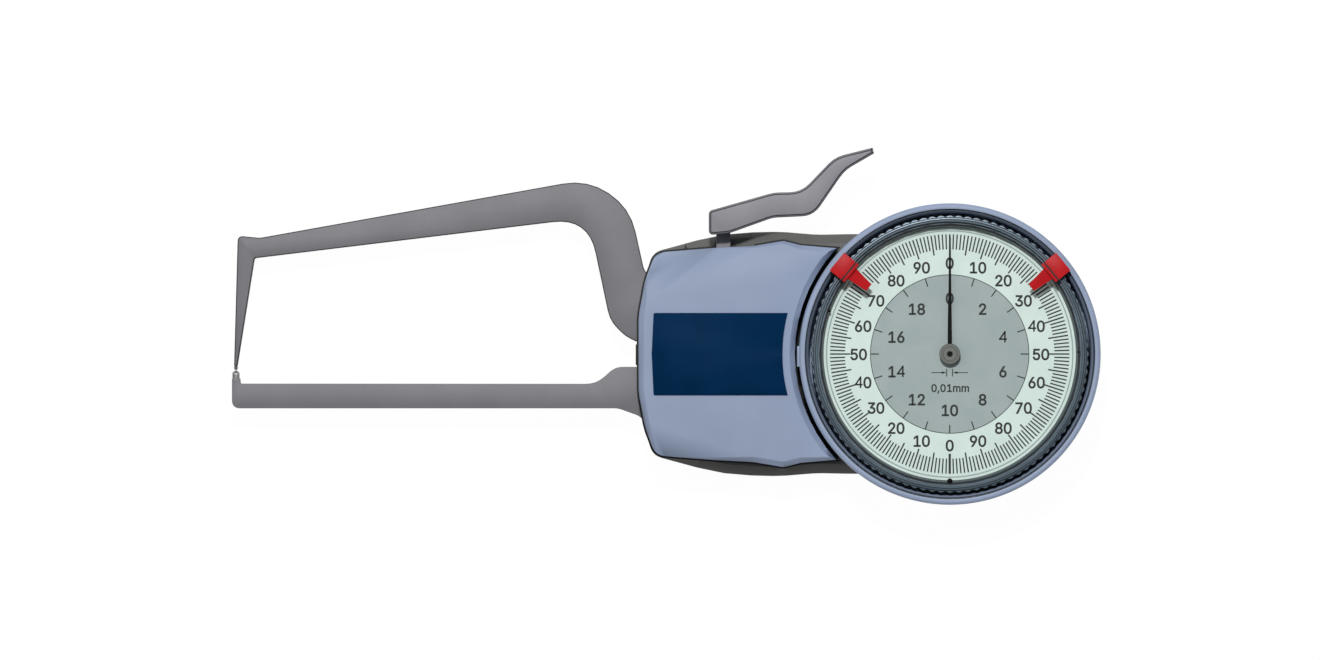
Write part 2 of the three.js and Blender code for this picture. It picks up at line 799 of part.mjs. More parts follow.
function pivotCarrier() {
  const spoke = hubRadius - seatGap;
  const wingFront = frontX + wingInset;
  const wingFoot = armGap + seatGap;
  const armWing = plate(rounded([
    [wingFront, wingFoot, overrun],
    [wingFront, wingTop, pivotShaftRadius],
    [wingFront + wingLength, wingTop, pivotShaftRadius],
    [pivotX, spoke, 0],
    [pivotX, -spoke, 0],
    [pivotX - pivotLobe, wingFoot, 0],
  ]), wingBottom, armBottom);
  const segmentArm = plate(rounded([
    [pivotX, spoke, 0],
    ...segmentWingShares.map(([along, up]) => [
      pivotX + along * pivotDistance, up * pivotDistance, pivotShaftRadius,
    ]),
    [pivotX, -spoke, 0],
  ]), segmentBottom - segmentWing, segmentBottom);
  const hookX = springHook[0];
  const lugEnd = -springDrop - hookEdge;
  const springLug = plate(rounded([
    [pivotX - overrun, 0, 0],
    [hookX + hookReach, -overrun, 0],
    [hookX + hookEdge, lugEnd, hookEdge],
    [hookX - hookEdge, lugEnd, hookEdge],
  ]), segmentBottom + shimGap, hubTop - overrun);
  const hub = post(hubRadius, hubBottom, hubTop, pivotX, 0, hubSides);
  return without(joined([hub, armWing, segmentArm, springLug]), [
    bore(bushRadius + running, [pivotX, 0], hubSides),
    ...[...movableScrewPlaces, ...segmentScrewPlaces].map((place) => bore(screwBore, place)),
  ]);
}

// A ring of straight-flanked teeth
function gearPoints(teeth, gearModule, x, y, phase) {
  const pitch = (gearModule * teeth) / 2;
  const points = [];
  for (let i = 0; i < teeth; i += 1) {
    const middle = phase + (i * fullTurn) / teeth;
    const root = pitch - dedendumShare * gearModule;
    const tip = pitch + addendumShare * gearModule;
    const rootHalf = ((2 * toothHalfShare - tipHalfShare) * gearModule) / pitch;
    const tipHalf = (tipHalfShare * gearModule) / pitch;
    [[root, -rootHalf], [tip, -tipHalf], [tip, tipHalf], [root, rootHalf]].forEach(([radius, turn]) => {
      points.push(new THREE.Vector2(
        x + radius * Math.cos(middle + turn),
        y + radius * Math.sin(middle + turn),
      ));
    });
  }
  return points;
}

function gear(teeth, gearModule, bottom, top, x, y, phase) {
  return plate(gearPoints(teeth, gearModule, x, y, phase), bottom, top);
}

// The segment's web and window, as shares of the pitch radius
const webShares = { foot: 0.15, knee: 0.517, neck: 0.806, window: 0.849 };

// The inner teeth face the pivot, and the millimetre pinion runs in the window
function toothedSegment() {
  const pitch = (segmentModule * segmentTeeth) / 2;
  const toothPitch = fullTurn / segmentTeeth;
  const margin = 1.4 * degree;
  const before = -margin;
  const after = openAngle + margin;
  const first = Math.ceil(before / toothPitch);
  const last = Math.floor(after / toothPitch);
  const tip = pitch - addendumShare * segmentModule;
  const root = pitch + dedendumShare * segmentModule;
  const polar = (radius, angle) => new THREE.Vector2(
    pivotX + radius * Math.cos(angle),
    radius * Math.sin(angle),
  );
  const rootHalf = ((2 * toothHalfShare - tipHalfShare) * segmentModule) / pitch;
  const tipHalf = (tipHalfShare * segmentModule) / pitch;
  const { foot, knee, neck, window: windowShare } = webShares;
  const window = [
    polar(windowShare * pitch, after + toothPitch),
    polar(windowShare * pitch, before - toothPitch),
    polar(root, before - toothPitch),
  ];
  for (let i = first; i <= last; i += 1) {
    const middle = (i + 0.5) * toothPitch;
    window.push(polar(root, middle - rootHalf), polar(tip, middle - tipHalf));
    window.push(polar(tip, middle + tipHalf), polar(root, middle + rootHalf));
  }
  window.push(polar(root, after + toothPitch));
  const low = before - 2 * degree;
  const high = after + 2 * degree;
  const outline = [
    ...arc(pitch + segmentRim, low, high, 10, pivotX, 0),
    polar(neck * pitch, high),
    polar(knee * pitch, 15 * degree),
    polar(foot * pitch, 24 * degree),
    polar(foot * pitch, -4 * degree),
    polar(knee * pitch, -1.5 * degree),
    polar(neck * pitch, low),
  ];
  return without(plate(outline, segmentBottom, segmentTop), [
    plate(window, segmentBottom - overrun, segmentTop + overrun),
    ...segmentScrewPlaces.map((place) => bore(screwBore, place)),
  ]);
}

// Heights on the lever's foot, as shares of the grip's half width
const leverFootShares = { low: 0.171, high: 0.428, right: 0.467, left: 0.56 };
const leverScrewPlace = [leverStemX, leverStemTop - stemScrewDrop];

function leverPost() {
  const right = leverStemX + stemWidth / 2;
  const left = right - stemWidth;
  const footLeft = frontX + leverFootInset - overrun;
  const footRight = frontX + leverFootInset + leverFootLength + overrun;
  const shares = leverFootShares;
  const outline = rounded([
    [footLeft, shares.low * gripHalfWidth, overrun],
    [footRight, shares.low * gripHalfWidth, pivotShaftRadius],
    [right, shares.right * gripHalfWidth, stemWidth],
    [right, leverStemTop, leverBevel],
    [left, leverStemTop, leverBevel],
    [left, shares.left * gripHalfWidth, stemWidth],
    [footLeft + leverFootLength / 2 + overrun, shares.high * gripHalfWidth, stemWidth / 2],
    [footLeft, shares.high * gripHalfWidth, overrun],
  ]);
  return without(plate(outline, leverFootBottom, leverBottom), [
    bore(screwBore, leverScrewPlace, boreSides),
    ...movableScrewPlaces.map((place) => bore(screwBore, place)),
  ]);
}

// The lever's side, as shares of its length and rise, with corner radii as shares of its length
const leverShares = [
  [0, 0.2757, 0.029],
  [0.3943, 0.4865, 0.229],
  [0.56, 0.4919, 0.171],
  [0.7629, 0.8919, 0.2],
  [0.9914, 1, 0],
  [1, 0.9351, 0],
  [0.8229, 0.7405, 0.229],
  [0.6343, 0.2216, 0.143],
  [0.3886, 0.2, 0.171],
  [0.1257, 0.0216, 0.143],
  [0, 0, 0.029],
];

function liftingLever() {
  const outline = rounded(leverShares.map(([along, up, radius]) => [
    leverStemX - leverHeel + along * leverLength,
    leverStemTop - leverHang + up * leverRise,
    radius * leverLength,
  ]));
  const body = bevelledPlate(outline, leverBottom, leverBottom + leverThickness, leverBevel);
  const [x, y] = leverScrewPlace;
  const tapped = post(screwBore, leverBottom - overrun, leverBottom + screwBite + seatGap, x, y, boreSides);
  return body.subtract(tapped);
}

function mmArbor() {
  const stem = post(tubeRadius, slowWheelBottom - pinionOver, mmHandBottom, 0, 0, arborSides);
  const pinionBottom = segmentBottom - pinionOver;
  const pinion = gear(pinionTeeth, segmentModule, pinionBottom, segmentTop + pinionOver, 0, 0, 0);
  const collar = post(collarRadius, collarBottom, collarBottom + collarThickness, 0, 0, arborSides);
  return joined([stem, pinion, collar]).subtract(bore(arborRadius + running, [0, 0], arborSides));
}

function mmWheel() {
  const wheel = gear(wheelTeeth, slowModule, slowWheelBottom, slowWheelBottom + wheelThickness, 0, 0, 0);
  return wheel.subtract(bore(tubeRadius + running, [0, 0], arborSides));
}

function layArbor() {
  const stem = post(arborRadius, baseBottom, bridgeTop, layDistance, 0, arborSides);
  const phase = Math.PI + Math.PI / layPinionTeeth;
  const bottom = slowWheelBottom - pinionOver;
  const top = slowWheelBottom + wheelThickness + pinionOver;
  return joined([stem, gear(layPinionTeeth, slowModule, bottom, top, layDistance, 0, phase)]);
}

function layWheel() {
  const top = layWheelBottom + wheelThickness;
  const wheel = gear(layWheelTeeth, fastModule, layWheelBottom, top, layDistance, 0, Math.PI);
  return wheel.subtract(bore(arborRadius + running, [layDistance, 0], arborSides));
}

function mainArbor() {
  const stemTop = mainHandBottom + handThickness + hubCapHeight - arborSink;
  const stem = post(arborRadius, baseBottom, stemTop, 0, 0, arborSides);
  const phase = Math.PI / centrePinionTeeth;
  const bottom = layWheelBottom - pinionOver;
  const top = layWheelBottom + wheelThickness + pinionOver;
  return joined([stem, gear(centrePinionTeeth, fastModule, bottom, top, 0, 0, phase)]);
}

function hand(length, halfTip, hole, bottom) {
  const outline = [
    new THREE.Vector2(-handHalfRoot, 0), new THREE.Vector2(handHalfRoot, 0),
    new THREE.Vector2(halfTip, length), new THREE.Vector2(-halfTip, length),
  ];
  const top = bottom + handThickness;
  const boss = post(handBoss, bottom, top, 0, 0, hubSides);
  return plate(outline, bottom, top).add(boss).subtract(bore(hole, [0, 0], arborSides));
}

function handHub() {
  const bottom = mainHandBottom + handThickness;
  return tube(hubCapRadius, arborRadius + running, bottom, bottom + hubCapHeight, 0, 0, hubSides);
}

// The knurled rim is a scalloped plate; the rest of the bezel is turned, with two ridges on top
function bezelRing() {
  const bottom = flangeTop + seatGap;
  const shelf = crystalBottom - shimGap;
  const skirt = bezelRadius - bezelSkirt - knurlDepth;
  const mouth = crystalRadius + running;
  const ridge = (bezelRadius - knurlDepth - mouth) / 5;
  const turned = revolve([
    [dialRadius + shimGap, bottom],
    [skirt, bottom],
    [skirt, bezelTop - seatGap],
    [mouth + 4 * ridge, bezelTop],
    [mouth + 3 * ridge, bezelTop],
    [mouth + 2.5 * ridge, bezelTop - ridgeDepth],
    [mouth + 2 * ridge, bezelTop],
    [mouth + ridge, bezelTop],
    [mouth, bezelTop - ridgeDepth],
    [mouth, shelf],
    [crystalRadius - crystalLedge, shelf],
    [dialRadius - seatGap, dialTop + running],
    [dialRadius + shimGap, dialTop + running],
  ], ringSides);
  const scallops = Array.from({ length: 2 * knurlTeeth }, (_, i) => {
    const radius = bezelRadius - (i % 2) * knurlDepth;
    const angle = (i * Math.PI) / knurlTeeth;
    return new THREE.Vector2(radius * Math.cos(angle), radius * Math.sin(angle));
  });
  const rimTop = bezelTop - seatGap;
  const rim = plate(scallops, rimTop - knurlHeight, rimTop).subtract(
    bore(skirt - seatGap, [0, 0], ringSides),
  );
  return joined([turned, rim]);
}

function crystal() {
  const bevel = crystalThickness / 4;
  return revolve([
    [0, crystalBottom],
    [crystalRadius, crystalBottom],
    [crystalRadius, bezelTop - bevel],
    [crystalRadius - bevel, bezelTop],
    [0, bezelTop],
  ], ringSides);
}

function crystalGasket() {
  const outer = crystalRadius - crystalLedge + sealWidth;
  return tube(outer, outer - sealWidth, crystalBottom - sealThickness, crystalBottom, 0, 0, innerRingSides);
}

function marker(side) {
  const middle = Math.PI / 2 + side * markerAngle * degree;
  const outward = new THREE.Vector2(Math.cos(middle), Math.sin(middle));
  const across = new THREE.Vector2(-outward.y, outward.x);
  const place = (radius, offset) => outward.clone().multiplyScalar(radius)
    .add(across.clone().multiplyScalar(offset));
  const strip = (inner, outer, halfInner, halfOuter) => [
    place(inner, -halfInner), place(outer, -halfOuter), place(outer, halfOuter), place(inner, halfInner),
  ];
  const half = markerWidth / 2;
  const bottom = bezelTop + seatGap;
  const seatInner = crystalRadius - markerSeatInner;
  const seat = strip(seatInner, bezelRadius + markerSeatOuter, half, half);
  const tongue = strip(seatInner - tongueLength, seatInner + seatGap, tongueHalfTip, tongueHalfRoot);
  const spread = half / bezelRadius;
  const lipInner = bezelRadius + seatGap / 2;
  const lip = [
    ...arc(lipInner + lipThickness, middle - spread, middle + spread, 4),
    ...arc(lipInner, middle + spread, middle - spread, 4),
  ];
  return joined([
    plate(seat, bottom, bottom + markerThickness),
    plate(tongue, bottom, bottom + tongueThickness),
    plate(lip, bezelTop - lipDepth, bottom + tongueThickness),
  ]);
}

// A wire wound along a helix between the hook pin and the anchor post
function measuringSpring() {
  const from = springHook[0] + hookPinRadius + seatGap;
  const to = springAnchor[0] - hookPinRadius - seatGap;
  const lead = 4 * springWire;
  const coilLength = to - from - 2 * lead;
  const stepsPerTurn = 8;
  const top = -springDrop + springCoil;
  const points = [new THREE.Vector3(from, top, springHeight)];
  for (let i = 0; i <= springTurns * stepsPerTurn; i += 1) {
    const share = i / (springTurns * stepsPerTurn);
    const angle = share * springTurns * fullTurn;
    points.push(new THREE.Vector3(
      from + lead + share * coilLength,
      -springDrop + springCoil * Math.cos(angle),
      springHeight + springCoil * Math.sin(angle),
    ));
  }
  points.push(new THREE.Vector3(to, top, springHeight));
  const curve = new THREE.CatmullRomCurve3(points);
  const section = new THREE.Shape(arc(springWire, 0, (fullTurn * 4) / 5, 4));
  const leastGap = coilLength / springTurns - 2 * springWire;
  console.log(`measuring spring: least gap to itself ${leastGap.toFixed(2)} mm`);
  return toSolid(new THREE.ExtrudeGeometry(section, {
    steps: springTurns * stepsPerTurn + 2,
    extrudePath: curve,
    bevelEnabled: false,
  }));
}

const ribbonOuter = ribbonInner + ribbonTurns * ribbonPitch;

function hairspringRibbon() {
  const steps = ribbonTurns * 18;
  const side = (offset) => Array.from({ length: steps + 1 }, (_, i) => {
    const radius = ribbonInner + ((ribbonOuter - ribbonInner) * i) / steps + offset;
    const angle = (i / steps) * ribbonTurns * fullTurn;
    return new THREE.Vector2(radius * Math.cos(angle), radius * Math.sin(angle));
  });
  console.log(`hairspring: least gap to itself ${(ribbonPitch - ribbonWidth).toFixed(2)} mm`);
  return plate([...side(ribbonWidth), ...side(0).reverse()], ribbonBottom, ribbonBottom + ribbonHeight);
}

// Housing pieces
addPiece('rear_cover', rearCover(), darkShell());
addPiece('front_cover', frontCover(), paintedCover());
addPiece('cover_gasket', coverGasket(), rubber());
addPiece('label_plate', labelPlate(), labelFilm());
addPiece('dial_guard_ring', guardRing(), paintedCover());
addPiece('base_plate', basePlate(), brass());
addPiece('bridge_plate', bridgePlate(), brass());
pillarPlaces.forEach((place, i) => {
  const tip = bridgeBottom - screwBite + 2 * seatGap;
  addPiece(`pillar_${i + 1}`, pillar(place), polishedSteel());
  addPiece(`bridge_screw_${i + 1}`, screw(place, bridgeTop, bridgeTop + smallHeadHeight, tip),
    polishedSteel());
});
[...coverScrews, ...ringScrews].forEach((place, i) => {
  const tip = i < coverScrews.length ? coverTop - 2 * wall - seatGap : flangeTop - 2 * seatGap;
  addPiece(`rear_screw_${i + 1}`, screw(place, counterbore, counterbore - headHeight, tip), polishedSteel());
});
addPiece('pivot_shaft', post(pivotShaftRadius, baseTop, bridgeBottom, pivotX, 0, hubSides), polishedSteel());
addPiece('fixed_arm', fixedArm(), armMetal());
addPiece('fixed_contact_pin', contactPin(fixedPinRadius, -contactDrop, -contactDrop - fixedPinLength),
  polishedSteel());
armScrewPlaces.forEach((place, i) => {
  const tip = armBottom - screwBite - overrun;
  addPiece(`fixed_arm_screw_${i + 1}`, screw(place, armTop, armTop + smallHeadHeight, tip), polishedSteel());
});
addPiece('spring_anchor_post', post(hookPinRadius, baseTop, springHeight + pinOver,
  ...springAnchor, postSides), polishedSteel());
const frontFace = Math.min(gripX(rearShares[0][0], rearMeetX), gripX(frontShares[0][0]));
addPiece('arm_slot_seal', block(frontX - shimGap, frontFace - running,
  -armGap + seatGap, armGap - 2 * seatGap, armBottom - wall - wall / 2, splitHeight), rubber());
addPiece('hairspring_stud', post(studRadius, ribbonBottom - pinionOver, bridgeBottom,
  ribbonOuter + studRadius + ribbonWidth + seatGap, 0, postSides), polishedSteel());
addPiece('measuring_spring', measuringSpring(), polishedSteel());
addPiece('hairspring', hairspringRibbon(), polishedSteel());

// Moving arm
addPiece('pivot_carrier', pivotCarrier(), armMetal());
addPiece('pivot_bush', tube(bushRadius, pivotShaftRadius + running, hubBottom, hubTop, pivotX, 0, hubSides),
  brass());
addPiece('movable_arm', movableArm(), armMetal());
addPiece('movable_contact_tip', contactPin(movablePinRadius, -contactDrop + contactGap,
  -contactDrop + contactGap + movablePinLength), polishedSteel());
movableScrewPlaces.forEach((place, i) => {
  addPiece(`movable_arm_screw_${i + 1}`, screw(place, leverBottom, leverBottom + smallHeadHeight,
    wingBottom + seatGap), polishedSteel());
});
addPiece('toothed_segment', toothedSegment(), brass());
segmentScrewPlaces.forEach((place, i) => {
  addPiece(`segment_screw_${i + 1}`, screw(place, segmentTop, segmentTop + smallHeadHeight,
    segmentBottom - segmentWing + pinionOver), polishedSteel());
});
addPiece('spring_hook_pin', post(hookPinRadius, springHeight - pinOver, segmentBottom + shimGap,
  ...springHook, postSides), polishedSteel());
addPiece('lever_post', leverPost(), armMetal());
addPiece('lifting_lever', liftingLever(), armMetal());
addPiece('lever_screw', screw(leverScrewPlace, leverFootBottom, leverFootBottom - smallHeadHeight,
  leverBottom + screwBite), polishedSteel());

// Gear train and hands
addPiece('mm_arbor', mmArbor(), polishedSteel());
addPiece('mm_wheel', mmWheel(), brass());
addPiece('mm_hand', hand(millimetreHandShare * dialRadius, millimetreHandHalfTip,
  tubeRadius, mmHandBottom), blackMetal());
addPiece('lay_arbor', layArbor(), polishedSteel());
addPiece('lay_wheel', layWheel(), brass());
addPiece('main_arbor', mainArbor(), polishedSteel());
addPiece('main_hand', hand(dialRadius - mainHandClear, mainHandHalfTip,
  arborRadius + running, mainHandBottom), blackMetal());
addPiece('hand_hub', handHub(), polishedSteel());

// Bezel and tolerance markers
const dialBottom = dialTop - dialThickness;
addPiece('bezel_ring', bezelRing(), blackMetal());
addPiece('crystal', crystal(), clearPlastic());
addPiece('crystal_gasket', crystalGasket(), rubber());
addPiece('dial_plate', tube(dialRadius, dialBore, dialBottom, dialTop, 0, 0, ringSides), dialPaint());
addPiece('dial_clamp_ring', tube(dialRadius, dialRadius - clampWidth, dialBottom - clampThickness, dialBottom,
  0, 0, innerRingSides), polishedSteel());
addPiece('marker_left', marker(1), redPlastic());
addPiece('marker_right', marker(-1), redPlastic());

export default group;
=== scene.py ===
import math

import bmesh
import bpy
from mathutils import Matrix, Vector


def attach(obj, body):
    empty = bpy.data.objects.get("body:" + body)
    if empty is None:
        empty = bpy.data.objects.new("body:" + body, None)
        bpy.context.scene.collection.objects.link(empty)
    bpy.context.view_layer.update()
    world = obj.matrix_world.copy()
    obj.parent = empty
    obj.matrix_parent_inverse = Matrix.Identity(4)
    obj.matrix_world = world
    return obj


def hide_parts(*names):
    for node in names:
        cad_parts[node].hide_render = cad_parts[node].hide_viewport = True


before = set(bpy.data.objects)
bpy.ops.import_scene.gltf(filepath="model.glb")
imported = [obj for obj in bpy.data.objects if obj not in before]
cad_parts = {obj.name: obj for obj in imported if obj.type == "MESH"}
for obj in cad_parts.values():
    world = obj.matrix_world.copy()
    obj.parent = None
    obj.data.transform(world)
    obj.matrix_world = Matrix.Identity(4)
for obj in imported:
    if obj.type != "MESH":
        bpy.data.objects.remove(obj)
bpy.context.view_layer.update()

MM = 0.001
FULL_TURN = 2 * math.pi

# Photograph: an upright view along the dial axis
PHOTO_WIDTH = 1320
PHOTO_HEIGHT = 660
DIAL_CENTRE_PX = (949.5, 354)
PX_PER_MM = 4.72

# Housing
COVER_TOP = 22.0
RING_RADIUS = 31.9
RING_FOOT = 29.75
RING_TOP = 26.2
RING_BOTTOM = 13.0

# Bezel and dial
BEZEL_RADIUS = 29.45
BEZEL_TOP = 27.0
BEZEL_BOTTOM = 16.8
KNURL_WAVES = 96
CRYSTAL_RADIUS = 27.9
CRYSTAL_BOTTOM = 26.0
DIAL_RADIUS = 27.0
INNER_DIAL_RADIUS = 16.75
DIAL_TOP = 22.9
DIAL_THICKNESS = 0.5
PRINT_THICKNESS = 0.02
MARKER_ANGLE = 50.7
FIGURE_WIDTH = 0.97
FIGURE_ADVANCE = 0.76
STROKE_SHARE = 0.142
STROKE_GAIN = 0.021


# Colours and materials

def linear(code):
    """An sRGB hex value as linear light."""
    channels = [int(code[i:i + 2], 16) / 255 for i in (1, 3, 5)]
    return tuple(c / 12.92 if c <= 0.04045 else ((c + 0.055) / 1.055) ** 2.4 for c in channels) + (1,)


def add(tree, kind, inputs=None, **settings):
    """A node with its settings, and each input set or linked."""
    new = tree.nodes.new(kind)
    for name, value in settings.items():
        setattr(new, name, value)
    for name, value in (inputs or {}).items():
        if isinstance(value, bpy.types.NodeSocket):
            tree.links.new(value, new.inputs[name])
        else:
            new.inputs[name].default_value = value
    return new


def new_material(name, **shader):
    material = bpy.data.materials.new(name)
    material.use_nodes = True
    tree = material.node_tree
    tree.nodes.clear()
    surface = add(tree, "ShaderNodeBsdfPrincipled", shader)
    add(tree, "ShaderNodeOutputMaterial", {"Surface": surface.outputs["BSDF"]})
    return material, tree, surface


def object_place(tree, scale=(1, 1, 1), location=(0, 0, 0)):
    place = add(tree, "ShaderNodeTexCoord").outputs["Object"]
    mapping = add(tree, "ShaderNodeMapping", {"Vector": place, "Scale": scale, "Location": location})
    return mapping.outputs["Vector"]


def grains(size_mm, detail=2.0, roughness=0.5, stretch=(1, 1, 1)):
    """Noise whose grains are about size_mm across."""
    def build(tree):
        vector = object_place(tree, scale=stretch)
        noise = add(tree, "ShaderNodeTexNoise", {
            "Vector": vector, "Scale": 1 / (size_mm * MM), "Detail": detail, "Roughness": roughness})
        return noise.outputs["Fac"]
    return build


def mixed_colour(tree, factor, dark, light, low=0.35, high=0.65):
    ramp = add(tree, "ShaderNodeValToRGB", {"Fac": factor})
    ramp.color_ramp.elements[0].position = low
    ramp.color_ramp.elements[0].color = linear(dark)
    ramp.color_ramp.elements[1].position = high
    ramp.color_ramp.elements[1].color = linear(light)
    return ramp.outputs["Color"]


def spread(tree, factor, low, high):
    """The factor spread over the roughness range low to high."""
    spans = add(tree, "ShaderNodeMapRange", {"Value": factor, "To Min": low, "To Max": high})
    return spans.outputs["Result"]


def textured(name, dark, light, grain_mm, tone_mm, rough, bump_mm, stretch=(1, 1, 1), **shader):
    """A surface with slow changes of tone, fine grain in its gloss and a fine bump."""
    material, tree, surface = new_material(name, **shader)
    tone = grains(tone_mm, detail=3.0)(tree)
    grain = grains(grain_mm, detail=2.0, stretch=stretch)(tree)
    tree.links.new(mixed_colour(tree, tone, dark, light), surface.inputs["Base Color"])
    tree.links.new(spread(tree, grain, rough - 0.05, rough + 0.06), surface.inputs["Roughness"])
    bump = add(tree, "ShaderNodeBump", {"Height": grain, "Distance": bump_mm * MM, "Strength": 0.5})
    tree.links.new(bump.outputs["Normal"], surface.inputs["Normal"])
    return material


def cover_lacquer():
    # Satin lacquer on die-cast aluminium: even blue-grey with a faint orange peel
    return textured("blue_grey_lacquer", "#919fb9", "#96a4be", 0.5, 14, 0.5, 0.012,
                    **{"Specular IOR Level": 0.2})


def cover_edge_shade_lacquer():
    # Dark blue-grey lacquer for the cover's rounded edges: painted shade along the edges
    return textured("painted_edge_shade_lacquer", "#3c4350", "#474f5e", 0.5, 8, 0.5, 0.008,
                    **{"Specular IOR Level": 0.2})


def ring_lacquer():
    # The same lacquer on the turned guard ring
    return textured("blue_grey_ring_lacquer", "#93a2bc", "#99a8c2", 0.5, 14, 0.45, 0.008,
                    **{"Specular IOR Level": 0.25})


def moulded_shell():
    # Glass-filled nylon moulded in a spark-eroded tool: dark and matt with a fine grain
    return textured("dark_moulded_nylon", "#5e5e5c", "#666663", 0.25, 9, 0.6, 0.02)


def nitrile_rubber():
    # Moulded nitrile rubber: nearly black, soft gloss
    return textured("black_nitrile_rubber", "#111214", "#18191b", 0.3, 5, 0.7, 0.01)


def blasted_aluminium():
    # Bead-blasted and anodised aluminium: even mid grey, with its grain drawn coarse enough to show
    return textured("blasted_anodised_aluminium", "#757479", "#7a797e", 0.22, 10, 0.6, 0.006, Metallic=0.2)


def lever_aluminium():
    # The lever's own anodising: the same blasted grain, a shade paler than the arms
    return textured("lever_anodised_aluminium", "#838288", "#8a898f", 0.22, 10, 0.6, 0.006, Metallic=0.2)


def arm_edge_shade_anodising():
    # Dark anodising for the tumbled edges: painted shade along the sides of the arms and lever
    return textured("painted_edge_shade_anodising", "#2c2c2f", "#343437", 0.22, 6, 0.6, 0.004, Metallic=0.2)


def ground_steel():
    # Ground stainless steel with fine drawn lines
    return textured("ground_stainless_steel", "#b0b0b2", "#bcbcbe", 0.12, 4, 0.3, 0.003, Metallic=1.0)


def turned_steel():
    # Faced on a lathe: rings a few tenths of a millimetre apart round the dial axis
    material, tree, surface = new_material("turned_stainless_steel", Metallic=0.85)
    rings = add(tree, "ShaderNodeTexWave", {
        "Vector": object_place(tree, scale=(1, 1, 0)), "Scale": 0.11 / MM, "Distortion": 0.4},
        wave_type="RINGS", rings_direction="SPHERICAL")
    tree.links.new(mixed_colour(tree, rings.outputs["Fac"], "#4b4f4c", "#636662", 0.1, 0.9),
                   surface.inputs["Base Color"])
    tree.links.new(spread(tree, rings.outputs["Fac"], 0.4, 0.55), surface.inputs["Roughness"])
    bump = add(tree, "ShaderNodeBump", {
        "Height": rings.outputs["Fac"], "Distance": 0.01 * MM, "Strength": 0.4})
    tree.links.new(bump.outputs["Normal"], surface.inputs["Normal"])
    return material


def oxide_steel():
    # Steel blackened in hot salts, as on the end of the centre arbor
    return textured("black_oxide_steel", "#040505", "#08090a", 0.1, 2, 0.6, 0.002,
                    **{"Specular IOR Level": 0.1})


def clock_brass():
    # Rolled clock brass, lightly brushed along X
    return textured("rolled_clock_brass", "#a98d49", "#b89c58", 0.2, 6, 0.34, 0.004,
                    stretch=(0.08, 1, 1), Metallic=1.0)


def black_anodising():
    # Turned and black-anodised aluminium: slate sheen with fine tool rings
    return textured("black_anodised_aluminium", "#4c5b67", "#566672", 0.18, 6, 0.34, 0.004, Metallic=0.3)


def cone_paint_and_painted_shade():
    # Satin black paint on the cone inside the bezel, its slate tone a painted reflection of the dial; the
    # same finish is painted shade in the grooves of the bezel and guard ring
    return textured("slate_cone_painted_reflection_and_shade", "#212e38", "#293742", 0.2, 4, 0.4, 0.003)


def hand_lacquer():
    # Matt black lacquer on a stamped hand
    return textured("matt_black_hand_lacquer", "#040506", "#08090a", 0.1, 2, 0.6, 0.002,
                    **{"Specular IOR Level": 0.1})


def dial_enamel():
    # Screen-printed dial plate: pale mint white with a fine matt tooth
    return textured("mint_white_dial_enamel", "#d8ebe4", "#ddf0e9", 0.3, 5, 0.6, 0.003)


def inner_dial_ink():
    # Grey screen ink over the middle of the dial
    return textured("grey_dial_ink", "#9faead", "#a5b3b2", 0.3, 5, 0.6, 0.003)


def scale_ink():
    # Dark green-grey printing ink
    return textured("dark_scale_ink", "#0e1616", "#131c1c", 0.2, 2, 0.6, 0.001)


def faint_ink():
    # Pale grey printing ink for the circle at the dial's edge
    return textured("pale_grey_ink", "#94a5a3", "#9cadab", 0.2, 2, 0.6, 0.001)


def marker_nylon():
    # Moulded nylon, red all through, with a soft gloss
    return textured("red_moulded_nylon", "#b8161c", "#c51b20", 0.3, 3, 0.45, 0.004,
                    **{"Specular IOR Level": 0.15})


def label_vinyl():
    # Dark blue vinyl film with a fine matt laminate
    return textured("dark_blue_vinyl", "#01284c", "#022d52", 0.25, 8, 0.6, 0.004,
                    **{"Specular IOR Level": 0.04})


def clear_polycarbonate():
    # Clear polycarbonate: what lies under it shows, with a faint sheen at a slant
    material = bpy.data.materials.new("clear_polycarbonate")
    material.use_nodes = True
    tree = material.node_tree
    tree.nodes.clear()
    ripple = add(tree, "ShaderNodeBump", {
        "Height": grains(6)(tree), "Distance": 0.002 * MM, "Strength": 0.2})
    fresnel = add(tree, "ShaderNodeFresnel", {"IOR": 1.3, "Normal": ripple.outputs["Normal"]})
    clear = add(tree, "ShaderNodeBsdfTransparent", {"Color": (1, 1, 1, 1)})
    gloss = add(tree, "ShaderNodeBsdfGlossy", {"Roughness": 0.03, "Normal": ripple.outputs["Normal"]})
    outside = add(tree, "ShaderNodeMath", {
        0: 1.0, 1: add(tree, "ShaderNodeNewGeometry").outputs["Backfacing"]}, operation="SUBTRACT")
    sheen = add(tree, "ShaderNodeMath", {0: fresnel.outputs["Fac"], 1: outside.outputs[0]},
                operation="MULTIPLY")
    blended = add(tree, "ShaderNodeMixShader", {
        "Fac": sheen.outputs[0], 1: clear.outputs["BSDF"], 2: gloss.outputs["BSDF"]})
    add(tree, "ShaderNodeOutputMaterial", {"Surface": blended.outputs["Shader"]})
    return material


MATERIALS = {
    "cover": cover_lacquer(),
    "cover_edge_shade": cover_edge_shade_lacquer(),
    "ring": ring_lacquer(),
    "shell": moulded_shell(),
    "rubber": nitrile_rubber(),
    "arm": blasted_aluminium(),
    "lever": lever_aluminium(),
    "arm_edge_shade": arm_edge_shade_anodising(),
    "steel": ground_steel(),
    "turned": turned_steel(),
    "oxide": oxide_steel(),
    "brass": clock_brass(),
    "bezel": black_anodising(),
    "cone": cone_paint_and_painted_shade(),
    "hand": hand_lacquer(),
    "dial": dial_enamel(),
    "inner_dial": inner_dial_ink(),
    "ink": scale_ink(),
    "faint_ink": faint_ink(),
    "red": marker_nylon(),
    "label": label_vinyl(),
    "clear": clear_polycarbonate(),
}


# Blender's own plain typeface, without feet on its letters
FIGURE_FONT = bpy.data.fonts.load(bpy.utils.system_resource("DATAFILES", path="fonts") + "/Inter.woff2")


# Pieces

